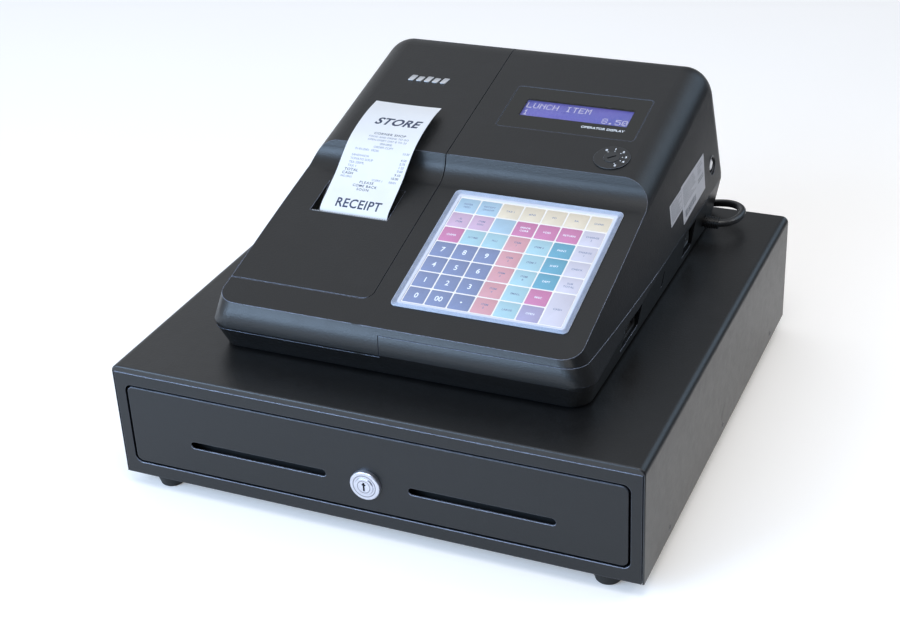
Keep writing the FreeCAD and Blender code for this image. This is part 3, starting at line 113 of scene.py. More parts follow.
class Shader:
    """A node tree under construction; any input may be a plain value or another node's socket."""

    def __init__(self, owner, output="ShaderNodeOutputMaterial"):
        self.owner = owner
        owner.use_nodes = True
        self.tree = owner.node_tree
        self.tree.nodes.clear()
        self.output = self.tree.nodes.new(output)
        self.coords = self.tree.nodes.new("ShaderNodeTexCoord").outputs

    def finish(self, socket):
        self.put(self.output.inputs[0], socket)
        return self.owner

    def put(self, socket, value):
        if isinstance(value, bpy.types.NodeSocket):
            self.tree.links.new(value, socket)
        else:
            socket.default_value = value

    def node(self, kind, inputs=None, **props):
        node = self.tree.nodes.new(kind)
        for key, value in props.items():
            setattr(node, key, value)
        for key, value in (inputs or {}).items():
            self.put(node.inputs[key], value)
        return node

    # arithmetic
    def op(self, operation, a, b=0.0, clamp=False):
        return self.node("ShaderNodeMath", {0: a, 1: b}, operation=operation,
                         use_clamp=clamp).outputs[0]

    def add(self, a, b):
        return self.op("ADD", a, b)

    def sub(self, a, b):
        return self.op("SUBTRACT", a, b)

    def mul(self, a, b):
        return self.op("MULTIPLY", a, b)

    def remap(self, x, start, end, low=0.0, high=1.0, smooth=False):
        """low at x = start to high at x = end, held beyond both."""
        props = {"interpolation_type": "SMOOTHSTEP"} if smooth else {}
        return self.node("ShaderNodeMapRange", {0: x, 1: start, 2: end, 3: low, 4: high},
                         clamp=True, **props).outputs[0]

    def spread(self, noise, low=0.0, high=1.0):
        """The middle of a noise's range, widened to low..high."""
        return self.remap(noise, 0.3, 0.7, low, high)

    def between(self, x, low, high):
        return self.mul(self.op("GREATER_THAN", x, low), self.op("LESS_THAN", x, high))

    def band(self, x, rise, full, fall, end):
        return self.mul(self.remap(x, rise, full), self.remap(x, fall, end, 1.0, 0.0))

    def radius(self, a, b):
        return self.op("SQRT", self.add(self.mul(a, a), self.mul(b, b)))

    def mix(self, factor, a, b):
        # inputs 0, 6, 7 and output 2 are the colour sockets of the mix node
        return self.node("ShaderNodeMix", {0: factor, 6: a, 7: b}, data_type="RGBA").outputs[2]

    # patterns, with scales per metre
    def noise(self, scale, detail=2.0, rough=0.5, at=None):
        return self.node("ShaderNodeTexNoise", {
            "Vector": at or self.coords["Object"], "Scale": scale, "Detail": detail,
            "Roughness": rough}).outputs[0]

    def cells(self, scale, feature="F1"):
        return self.node("ShaderNodeTexVoronoi", {
            "Vector": self.coords["Object"], "Scale": scale}, feature=feature).outputs["Distance"]

    def stretch(self, scale, rotation=(0, 0, 0)):
        return self.node("ShaderNodeMapping", {
            "Vector": self.coords["Object"], "Scale": scale, "Rotation": rotation}).outputs[0]

    def streaks(self, start, end, scale, rotation=(0, 0, 0)):
        return self.remap(self.noise(1.0, at=self.stretch(scale, rotation)), start, end)

    def rings(self, radius, scale):
        """Noise that varies with the radius only."""
        at = self.node("ShaderNodeCombineXYZ", {0: self.mul(radius, scale)}).outputs[0]
        return self.noise(1.0, detail=3.0, rough=0.7, at=at)

    # geometry
    def split(self, vector=None):
        return self.node("ShaderNodeSeparateXYZ", {0: vector or self.coords["Object"]}).outputs

    def face_normal(self):
        return self.node("ShaderNodeNewGeometry").outputs["Normal"]

    def bevel(self, radius):
        return self.node("ShaderNodeBevel", {"Radius": radius}, samples=4).outputs[0]

    def flatness(self, bevelled):
        """1 on flat faces, less where the bevelled normal turns over an edge."""
        return self.node("ShaderNodeVectorMath", {0: bevelled, 1: self.face_normal()},
                         operation="DOT_PRODUCT").outputs["Value"]

    def bump(self, height, distance, normal=None, strength=1.0):
        inputs = {"Height": height, "Distance": distance, "Strength": strength}
        if normal is not None:
            inputs["Normal"] = normal
        return self.node("ShaderNodeBump", inputs).outputs[0]

    # closures
    def principled(self, color, roughness, normal=None, **more):
        inputs = {"Base Color": color, "Roughness": roughness}
        if normal is not None:
            inputs["Normal"] = normal
        inputs.update((PRINCIPLED[key], value) for key, value in more.items())
        return self.node("ShaderNodeBsdfPrincipled", inputs).outputs[0]

    def blend(self, factor, a, b):
        return self.node("ShaderNodeMixShader", {0: factor, 1: a, 2: b}).outputs[0]


def new_shader(name):
    return Shader(bpy.data.materials.new(name))


def rgba(color, gain=1.0):
    return (color[0] * gain, color[1] * gain, color[2] * gain, 1.0)


def srgb(*levels):
    """Linear colour from 0-255 display levels."""
    def linear(level):
        value = level / 255.0
        return value / 12.92 if value <= 0.04045 else ((value + 0.055) / 1.055) ** 2.4
    return tuple(linear(level) for level in levels)


# ------------------------------------------------------------------ layered surfaces
def add_scratches(net, color, rough, base, amount):
    """Fine streaks in two directions, in patches."""
    one = net.streaks(0.70, 0.78, (900.0, 26.0, 26.0), (0.0, 0.0, 0.5))
    other = net.streaks(0.71, 0.79, (30.0, 1100.0, 30.0), (0.0, 0.3, -0.25))
    mask = net.mul(net.op("ADD", one, other, clamp=True), net.remap(net.noise(16.0), 0.45, 0.7))
    pale = rgba([min(1.0, c * 2.2 + 0.02) for c in base])
    return net.mix(net.mul(mask, amount), color, pale), net.add(rough, net.mul(mask, 0.12))


def add_dust(net, color, rough, amount):
    """Specks and patches of grey on whatever faces up."""
    specks = net.remap(net.cells(420.0), 0.0, 0.16, 1.0, 0.0)
    patches = net.remap(net.noise(24.0, detail=5.0, rough=0.7), 0.5, 0.75)
    upward = net.remap(net.split(net.face_normal())["Z"], 0.3, 1.0)
    mask = net.mul(net.mul(net.add(net.mul(specks, 0.7), patches), upward), amount)
    return net.mix(mask, color, (0.42, 0.42, 0.44, 1.0)), net.add(rough, net.mul(mask, 0.5))


def add_edge_wear(net, color, rough, bevelled, edge, crown):
    """Painted edge highlight, strongest where the edges look up; on the grey inner parts the same
    mask also stands for rubbed wear. edge is (colour, amount).
    """
    highlight_and_wear = net.remap(net.flatness(bevelled), 0.992, 0.90)
    highlight_and_wear = net.mul(highlight_and_wear, net.remap(net.split(bevelled)["Z"], 0.10, 0.50, 0.10, 1.0))
    if crown:
        # the painted highlight is faded in a narrow strip about x = -23.5 mm, and over the rear
        # half
        place = net.split()
        from_strip = net.op("ABSOLUTE", net.sub(place["X"], -0.0235))
        highlight_and_wear = net.mul(highlight_and_wear, net.remap(from_strip, 0.0020, 0.0040, 0.05, 1.0))
        highlight_and_wear = net.mul(highlight_and_wear, net.remap(place["Y"], 0.0, 0.006, 1.0, 0.45))
    broken = net.noise(150.0, detail=5.0, rough=0.7)
    highlight_and_wear = net.mul(highlight_and_wear, net.remap(broken, 0.35, 0.65, 0.55, 1.0))
    # mixes the painted highlight colour into the edges and lowers their roughness there
    return (net.mix(net.mul(highlight_and_wear, edge[1]), color, rgba(edge[0])),
            net.sub(rough, net.mul(highlight_and_wear, 0.10)))


def crown_normal(net, normal):
    """Swells the moulded front face: its normal swings up towards the deck's front edge."""
    place = net.split()
    facing = net.split(net.face_normal())
    front = net.mul(net.remap(place["Y"], -0.1490, -0.1520, smooth=True),
                    net.remap(facing["Y"], -0.55, -0.90, smooth=True))
    upward = net.remap(place["Z"], 0.1240, 0.1475, -0.12, 0.66, smooth=True)
    push = net.node("ShaderNodeCombineXYZ", {2: net.mul(front, upward)}).outputs[0]
    total = net.node("ShaderNodeVectorMath", {0: normal, 1: push}, operation="ADD").outputs[0]
    return net.node("ShaderNodeVectorMath", {0: total}, operation="NORMALIZE").outputs[0]


GRAIN = {
    "noise": lambda net, scale: net.noise(scale, detail=3.0, rough=0.6),
    "cells": lambda net, scale: net.cells(scale, "SMOOTH_F1"),
    "pits": lambda net, scale: net.remap(net.cells(scale), 0.0, 0.35),
    "brush_x": lambda net, scale: net.noise(1.0, 3.0, 0.6,
                                            net.stretch((scale * 0.02, scale, scale))),
    "brush_y": lambda net, scale: net.noise(1.0, 3.0, 0.6,
                                            net.stretch((scale, scale * 0.02, scale))),
}


def surface(name, base, rough=0.45, metal=0.0, spec=0.5, blotch=0.10, grain=(), rough_var=0.10,
            edge=None, bevel=0.0, scratch=0.0, dust=0.0, coat=0.0, coat_rough=0.15,
            subsurface=0.0, flecks=None, crown=False):
    """One layered surface.
    grain: (kind, scale per metre, height in metres) each; edge: (colour, amount) of the painted
    edge highlight, which on grey inner parts also stands for rubbed edges; flecks: (scale,
    colour, amount); bevel: shading radius in metres."""
    net = new_shader(name)
    broad = net.noise(9.0, detail=3.0, rough=0.55)
    close = net.noise(70.0, detail=4.0, rough=0.6)
    cloud = net.add(net.mul(broad, 0.6), net.mul(close, 0.4))
    color = net.mix(net.spread(cloud), rgba(base, 1.0 - blotch), rgba(base, 1.0 + blotch))
    uneven = net.sub(net.noise(120.0, detail=5.0, rough=0.65), 0.5)
    roughness = net.add(rough, net.mul(uneven, rough_var * 2.0))
    if scratch:
        color, roughness = add_scratches(net, color, roughness, base, scratch)
    if flecks:
        scale, fleck_color, amount = flecks
        spots = net.remap(net.cells(scale), 0.0, 0.22, 1.0, 0.0)
        color = net.mix(net.mul(spots, amount), color, rgba(fleck_color))
    if dust:
        color, roughness = add_dust(net, color, roughness, dust)
    normal = net.bevel(bevel) if bevel else None
    # painted edge highlight, which on the grey inner parts also stands for rubbed wear
    if edge:
        color, roughness = add_edge_wear(net, color, roughness, normal, edge, crown)
    if crown:
        normal = crown_normal(net, normal)
    for kind, scale, height in grain:
        normal = net.bump(GRAIN[kind](net, scale), height, normal)
    roughness = net.op("MINIMUM", net.op("MAXIMUM", roughness, 0.04), 1.0)
    more = {}
    if subsurface:
        more = dict(subsurface=subsurface, subsurface_radius=(0.002, 0.002, 0.002))
    return net.finish(net.principled(color, roughness, normal, metallic=metal, specular=spec,
                                     ior=1.5, coat=coat, coat_rough=coat_rough, **more))


# edge entries give colour and amount of a painted edge highlight: the pale blue ones on the black
# case, drawer and dial are painted highlights, the grey ones on inner parts also stand for rubbed
# wear
SURFACES = {
    # drawer and case
    "case_plastic": dict(
        base=(0.0042, 0.0046, 0.0050), rough=0.40, spec=0.56, blotch=0.12, rough_var=0.05,
        grain=[("cells", 1100.0, 5.0e-5), ("noise", 640.0, 1.3e-4)], bevel=0.0007,
        edge=((0.46, 0.52, 0.70), 0.85), scratch=0.04, dust=0.006, crown=True),
    "casing_paint": dict(
        base=(0.0045, 0.0047, 0.0050), rough=0.36, spec=0.60, blotch=0.15, rough_var=0.06,
        grain=[("cells", 800.0, 3.6e-5), ("noise", 520.0, 8.0e-5)], bevel=0.0009,
        edge=((0.50, 0.56, 0.74), 0.9), scratch=0.05, dust=0.008),
    "front_paint": dict(
        base=(0.0055, 0.0068, 0.0085), rough=0.36, spec=0.42, blotch=0.12, rough_var=0.06,
        grain=[("cells", 900.0, 3.4e-5), ("noise", 560.0, 8.0e-5)], bevel=0.0010,
        edge=((0.55, 0.61, 0.80), 0.95), scratch=0.06),
    "tray_paint": dict(
        base=(0.020, 0.021, 0.022), rough=0.48, grain=[("cells", 800.0, 1.4e-5)],
        bevel=0.0005, edge=((0.16, 0.16, 0.17), 0.6), scratch=0.6, dust=0.06),
    # metals
    "zinc_steel": dict(
        base=(0.52, 0.53, 0.54), rough=0.34, metal=1.0, blotch=0.14, rough_var=0.12,
        grain=[("brush_y", 1400.0, 5e-6), ("noise", 300.0, 6e-6)], bevel=0.0003, scratch=0.25),
    "dark_steel": dict(
        base=(0.060, 0.062, 0.068), rough=0.36, metal=0.85, blotch=0.2, rough_var=0.12,
        grain=[("noise", 900.0, 8e-6)], bevel=0.0003, edge=((0.35, 0.35, 0.36), 0.6)),
    "spring_steel": dict(
        base=(0.42, 0.42, 0.41), rough=0.30, metal=1.0, blotch=0.12,
        grain=[("brush_x", 1200.0, 4e-6)], rough_var=0.1),
    "lock_chrome": dict(
        base=(0.80, 0.81, 0.84), rough=0.20, metal=1.0, blotch=0.05, rough_var=0.08,
        grain=[("noise", 600.0, 2.5e-6)], bevel=0.0004, scratch=0.3),
    # rubbers and inner plastics
    "foot_rubber": dict(
        base=(0.012, 0.012, 0.012), rough=0.72, spec=0.35, blotch=0.18, rough_var=0.1,
        grain=[("noise", 1200.0, 2.5e-5), ("pits", 380.0, 1.2e-5)], dust=0.15, bevel=0.0004),
    "cable_rubber": dict(
        base=(0.011, 0.0115, 0.0125), rough=0.34, spec=0.6, blotch=0.12, rough_var=0.1,
        grain=[("noise", 700.0, 1.5e-5)], dust=0.05),
    "nylon": dict(
        base=(0.72, 0.70, 0.64), rough=0.48, blotch=0.05, grain=[("noise", 900.0, 6e-6)],
        subsurface=0.15, bevel=0.0003),
    "till_plastic": dict(
        base=(0.022, 0.022, 0.023), rough=0.5, blotch=0.10, rough_var=0.08,
        grain=[("cells", 1100.0, 1.6e-5), ("noise", 260.0, 1.0e-5)], bevel=0.0005,
        edge=((0.11, 0.11, 0.115), 0.5), scratch=0.7, dust=0.12),
    "clip_plastic": dict(
        base=(0.030, 0.030, 0.031), rough=0.42, blotch=0.08, grain=[("cells", 1300.0, 1.0e-5)],
        bevel=0.0004, edge=((0.13, 0.13, 0.13), 0.5), scratch=0.4),
    # works
    "coil_copper": dict(
        base=(0.30, 0.11, 0.045), rough=0.34, metal=0.9, blotch=0.2,
        grain=[("brush_y", 2600.0, 2.2e-5)], bevel=0.0003),
    "pcb_green": dict(
        base=(0.010, 0.085, 0.035), rough=0.36, blotch=0.15, grain=[("noise", 800.0, 5e-6)],
        coat=0.5, bevel=0.0002, flecks=(620.0, (0.55, 0.52, 0.35), 0.35)),
    "chip_black": dict(
        base=(0.018, 0.018, 0.019), rough=0.55, blotch=0.12, grain=[("noise", 1600.0, 9e-6)],
        bevel=0.0003),
    "switch_plastic": dict(
        base=(0.78, 0.80, 0.84), rough=0.28, blotch=0.04, grain=[("noise", 900.0, 4e-6)],
        coat=0.6, coat_rough=0.1, bevel=0.0003),
    "dial_plastic": dict(
        base=(0.012, 0.0125, 0.013), rough=0.34, spec=0.55, blotch=0.10, rough_var=0.06,
        grain=[("noise", 1400.0, 6e-6)], bevel=0.0004, edge=((0.45, 0.50, 0.62), 0.8),
        scratch=0.3),
    "rotor_plastic": dict(
        base=(0.020, 0.021, 0.022), rough=0.40, spec=0.55, blotch=0.12,
        grain=[("noise", 1400.0, 8e-6)], bevel=0.0003, edge=((0.20, 0.22, 0.26), 0.15),
        scratch=0.5),
    "gear_plastic": dict(
        base=(0.68, 0.66, 0.58), rough=0.45, blotch=0.05, grain=[("noise", 1000.0, 5e-6)],
        subsurface=0.2, bevel=0.0002),
    "platen_rubber": dict(
        base=(0.020, 0.020, 0.021), rough=0.62, blotch=0.15, grain=[("noise", 1500.0, 1.5e-5)],
        bevel=0.0002),
    "bezel_black": dict(
        base=(0.013, 0.013, 0.014), rough=0.5, blotch=0.1, grain=[("noise", 1500.0, 8e-6)]),
    "silver_badge": dict(
        base=(0.70, 0.72, 0.76), rough=0.30, metal=0.9, blotch=0.06, rough_var=0.08,
        grain=[("brush_x", 1800.0, 3e-6)], scratch=0.2),
    # inks
    "white_ink": dict(
        base=(0.82, 0.85, 0.90), rough=0.55, blotch=0.06, grain=[("noise", 2200.0, 4e-6)],
        rough_var=0.1),
    "grey_ink": dict(
        base=(0.20, 0.24, 0.36), rough=0.6, blotch=0.12, grain=[("noise", 2200.0, 3e-6)]),
    "print_ink": dict(
        base=(0.035, 0.045, 0.085), rough=0.62, blotch=0.30, grain=[("noise", 2500.0, 4e-6)]),
    "print_ink_soft": dict(
        base=(0.16, 0.18, 0.27), rough=0.65, blotch=0.35, grain=[("noise", 2500.0, 4e-6)]),
    "label_ink": dict(
        base=(0.20, 0.22, 0.25), rough=0.6, blotch=0.2, grain=[("noise", 2200.0, 3e-6)]),
}
materials = {name: surface(name, **look) for name, look in SURFACES.items()}


# ------------------------------------------------------------------ special materials
def paper_material():
    """Fibrous, slightly wavy paper that lets some light through."""
    base, tint = (0.90, 0.89, 0.89), (0.86, 0.855, 0.865)
    net = new_shader("till_paper")
    fibres = net.noise(1.0, detail=4.0, rough=0.7, at=net.stretch((1300.0, 420.0, 420.0)))
    cloud = net.noise(60.0, detail=4.0, rough=0.6)
    color = net.mix(net.spread(cloud), rgba(base), rgba(tint))
    color = net.mix(net.remap(fibres, 0.55, 0.8, 0.0, 0.10), color, (0.70, 0.72, 0.78, 1.0))
    normal = net.bump(fibres, 1.2e-5)
    normal = net.bump(net.noise(35.0), 1.2e-4, normal, strength=0.7)
    face = net.principled(color, net.spread(cloud, 0.42, 0.55), normal, specular=0.4)
    through = net.node("ShaderNodeBsdfTranslucent", {"Color": rgba(base, 0.9), "Normal": normal})
    return net.finish(net.blend(0.22, face, through.outputs[0]))


def roll_material():
    """Wound paper: fine rings about the roll's axis and a brown core."""
    net = new_shader("paper_roll")
    low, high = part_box("paper_roll")
    place = net.split()
    radius = net.radius(net.sub(place["Y"], (low.y + high.y) / 2),
                        net.sub(place["Z"], (low.z + high.z) / 2))
    rings = net.rings(radius, 4200.0)
    color = net.mix(net.remap(rings, 0.35, 0.65), (0.70, 0.71, 0.75, 1.0), (0.88, 0.88, 0.90, 1.0))
    core = net.remap(radius, 0.0095, 0.0100, 1.0, 0.0)
    color = net.mix(core, color, (0.42, 0.36, 0.27, 1.0))
    return net.finish(net.principled(color, 0.6, net.bump(rings, 4e-5)))


def key_material(name, base):
    """Printed colour under a satin clear film."""
    net = new_shader(name)
    cloud = net.noise(40.0, detail=3.0, rough=0.6)
    fine = net.noise(900.0, detail=3.0, rough=0.6)
    dots = net.remap(net.cells(2600.0), 0.1, 0.6)
    pale = rgba([min(1.0, c * 1.05) for c in base])
    color = net.mix(net.spread(cloud), rgba(base, 0.95), pale)
    color = net.mix(net.mul(dots, 0.06), color, (1.0, 1.0, 1.0, 1.0))
    return net.finish(net.principled(color, net.spread(fine, 0.30, 0.46), net.bump(fine, 4e-6),
                                     coat=0.35, coat_rough=0.22))


def border_material():
    """Ribbed pale blue border; the attribute t runs from its outer edge to its inner edge."""
    net = new_shader("key_border")
    t = net.node("ShaderNodeAttribute", attribute_name="t").outputs["Fac"]
    cloud = net.noise(160.0, detail=4.0, rough=0.6)
    ribbed = net.mix(net.spread(cloud), rgba(srgb(164, 174, 192)), rgba(srgb(180, 188, 206)))
    color = net.mix(net.remap(t, 0.56, 0.62), ribbed, rgba(srgb(206, 209, 222)))
    # painted shade: darker colour in the valleys between the ribs
    phase = net.op("FRACT", net.op("DIVIDE", net.sub(t, RIB_START), RIB_PITCH))
    valley_shade = net.mul(net.band(phase, 0.02, 0.18, 0.42, 0.60),
                      net.between(t, RIB_START, RIB_START + RIBS * RIB_PITCH))
    color = net.mix(net.mul(valley_shade, 0.75), color, rgba(srgb(108, 116, 138)))
    # painted shade: a darker line in the groove inside the ribs
    line = net.band(t, 0.58, 0.60, 0.63, 0.65)
    color = net.mix(net.mul(line, 0.6), color, rgba(srgb(120, 138, 172)))
    return net.finish(net.principled(
        color, net.spread(cloud, 0.28, 0.42), net.bump(net.noise(1200.0), 5e-6),
        subsurface=0.12, subsurface_radius=(0.001, 0.001, 0.0015), coat=0.3, coat_rough=0.2))


def wiped_roughness(net, fine, low, high, streak_scale, rotation=(0, 0, 0)):
    streaks = net.streaks(0.68, 0.78, streak_scale, rotation)
    return net.add(net.spread(fine, low, high), net.mul(streaks, 0.2))


def window_material():
    """Black window with a clear opening over the screen."""
    net = new_shader("window_acrylic")
    place = net.split()
    origin = panel(0.0, 0.0)
    along = net.add(net.mul(net.sub(place["Y"], origin.y), math.cos(PANEL_TILT)),
                    net.mul(net.sub(place["Z"], origin.z), math.sin(PANEL_TILT)))
    opening = net.mul(net.between(place["X"], SCREEN_X0 * MM, SCREEN_X1 * MM),
                      net.between(along, SCREEN_NEAR * MM, SCREEN_FAR * MM))
    fine = net.noise(500.0, detail=3.0, rough=0.6)
    rough = wiped_roughness(net, fine, 0.10, 0.16, (40.0, 900.0, 900.0), (0.0, 0.0, 0.2))
    # painted highlight: a pale blue line along the window's edges
    rim_highlight = net.remap(net.flatness(net.bevel(0.0006)), 0.992, 0.92, 0.0, 0.8)
    color = net.mix(rim_highlight, (0.0065, 0.0070, 0.0058, 1.0), (0.13, 0.15, 0.20, 1.0))
    dark = net.principled(color, rough, net.bump(fine, 2e-6), specular=0.5)
    clear = net.node("ShaderNodeBsdfTransparent", {"Color": (0.96, 0.96, 0.98, 1.0)}).outputs[0]
    gloss = net.node("ShaderNodeBsdfGlossy", {"Color": (1, 1, 1, 1), "Roughness": 0.14}).outputs[0]
    return net.finish(net.blend(opening, dark, net.blend(0.05, clear, gloss)))


def rear_window_material():
    net = new_shader("rear_window")
    fine = net.noise(400.0, detail=3.0, rough=0.6)
    rough = wiped_roughness(net, fine, 0.08, 0.15, (60.0, 900.0, 900.0))
    return net.finish(net.principled((0.012, 0.013, 0.020, 1.0), rough, net.bump(fine, 2e-6),
                                     coat=0.4, coat_rough=0.06))


def screen_material():
    """Backlit blue display divided into character columns."""
    net = new_shader("lcd_screen")
    columns_per_metre = 1000.0 / ((SCREEN_X1 - SCREEN_X0) / SCREEN_COLUMNS)
    from_left = net.sub(net.split()["X"], SCREEN_X0 * MM)
    column = net.between(net.op("FRACT", net.mul(from_left, columns_per_metre)), 0.06, 0.94)
    glow = net.spread(net.noise(22.0))
    color = net.mix(glow, rgba(srgb(72, 80, 158)), rgba(srgb(96, 88, 168)))
    color = net.mix(net.mul(column, 0.10), color, rgba(srgb(70, 76, 160)))
    fine = net.noise(1500.0)
    return net.finish(net.principled(color, net.spread(fine, 0.22, 0.30), net.bump(fine, 2e-6),
                                     emission=color, emission_strength=0.30))


def dots_material():
    """Lit dots of the display characters."""
    net = new_shader("lcd_dots")
    base = srgb(196, 192, 196)
    color = net.mix(net.noise(1800.0), rgba(base, 0.9), rgba(base, 1.08))
    return net.finish(net.principled(color, 0.5, emission=color, emission_strength=0.30))


def label_material():
    net = new_shader("label_film")
    fine = net.noise(500.0, detail=3.0, rough=0.6)
    color = net.mix(net.spread(net.noise(50.0)), rgba(srgb(184, 186, 194)),
                    rgba(srgb(172, 175, 184)))
    return net.finish(net.principled(color, net.spread(fine, 0.34, 0.5), net.bump(fine, 6e-6)))


def lock_material():
    """Turned metal face: tool marks and two dark rings about the lock's axis."""
    net = new_shader("lock_face")
    place = net.split()
    radius = net.radius(place["X"], net.sub(place["Z"], 0.047))
    rings = net.rings(radius, 5200.0)
    cloud = net.noise(200.0, detail=4.0)
    color = net.mix(net.spread(cloud), (0.56, 0.57, 0.64, 1.0), (0.66, 0.67, 0.75, 1.0))
    for groove_radius, half_width in ((0.0087, 0.00022), (0.0049, 0.00018)):
        away = net.op("ABSOLUTE", net.sub(radius, groove_radius))
        groove = net.remap(away, half_width, half_width * 2.2, 0.75, 0.0)
        color = net.mix(groove, color, (0.10, 0.10, 0.12, 1.0))
    normal = net.bump(rings, 1.2e-5, net.bevel(0.0004))
    return net.finish(net.principled(color, net.spread(rings, 0.22, 0.40), normal, metallic=0.92))


KEY_COLORS = {
    "sky": (165, 203, 236), "cream": (226, 220, 206), "mauve": (203, 178, 218),
    "magenta": (201, 124, 182), "cyan": (163, 210, 235), "rose": (212, 160, 180),
    "teal": (92, 168, 205), "pale": (205, 209, 236), "number": (118, 138, 190),
    "violet": (164, 164, 212),
}
KEY_WARMTH = (0.92, 0.84, 0.74)     # per-channel gain on the key colours

materials["paper"] = paper_material()
materials["paper_roll"] = roll_material()
for kind, levels in KEY_COLORS.items():
    warmed = [c * gain for c, gain in zip(srgb(*levels), KEY_WARMTH)]
    materials["key_" + kind] = key_material("key_" + kind, warmed)
materials["key_sheet"] = key_material("key_sheet", srgb(234, 228, 222))
materials["key_border"] = border_material()
materials["window_acrylic"] = window_material()
materials["rear_window"] = rear_window_material()
materials["lcd_screen"] = screen_material()
materials["lcd_dots"] = dots_material()
materials["label_film"] = label_material()
materials["lock_face"] = lock_material()

# CAD pieces of each material; every other piece is case plastic
PIECES = {
    "casing_paint": "drawer_casing drawer_base_pan",
    "front_paint": "drawer_front_frame drawer_front_panel",
    "tray_paint": "drawer_tray",
    "foot_rubber": "casing_feet cable_grommet case_feet",
    "dark_steel": "casing_screws solenoid_plunger case_screws print_head",
    "zinc_steel": "slide_rails clip_axle lock_cam latch_striker latch_bracket latch_lever "
                  "keyboard_backplate printer_frame stepper_motor serial_port "
                  "cover_hinge_pins tear_bar",
    "nylon": "front_rollers rear_rollers",
    "till_plastic": "till_insert coin_cups paper_cradle card_slot",
    "clip_plastic": "note_clip_1 note_clip_2 note_clip_3 note_clip_4",
    "lock_face": "drawer_lock_housing drawer_lock_plug",
    "coil_copper": "latch_solenoid",
    "spring_steel": "ejector_spring",
    "cable_rubber": "drawer_cable",
    "pcb_green": "main_board keyboard_board",
    "key_sheet": "key_legend_sheet",
    "key_border": "keyboard_frame",
    "window_acrylic": "display_window",
    "rear_window": "customer_display",
    "bezel_black": "lcd_module",
    "dial_plastic": "mode_lock_bezel power_switch_body",
    "rotor_plastic": "mode_lock_rotor",
    "chip_black": "mode_lock_switch power_supply",
    "switch_plastic": "power_rocker",
    "gear_plastic": "idler_gear motor_pinion",
    "platen_rubber": "platen_roller",
    "paper_roll": "paper_roll",
    "paper": "receipt",
}
piece_material = {piece: name for name, pieces in PIECES.items() for piece in pieces.split()}
for name, ob in nodes.items():
    material = materials[piece_material.get(name, "case_plastic")]
    if not ob.material_slots:
        ob.data.materials.append(material)
    for slot in ob.material_slots:
        slot.material = material


# ------------------------------------------------------------------ mesh building
def rounded_rectangle(x0, x1, y0, y1, radius, steps):
    points = []
    for x, y, start in ((x1 - radius, y0 + radius, -90), (x1 - radius, y1 - radius, 0),
                        (x0 + radius, y1 - radius, 90), (x0 + radius, y0 + radius, 180)):
        for i in range(steps + 1):
            angle = math.radians(start + 90.0 * i / steps)
            points.append((x + radius * math.cos(angle), y + radius * math.sin(angle)))
    return points


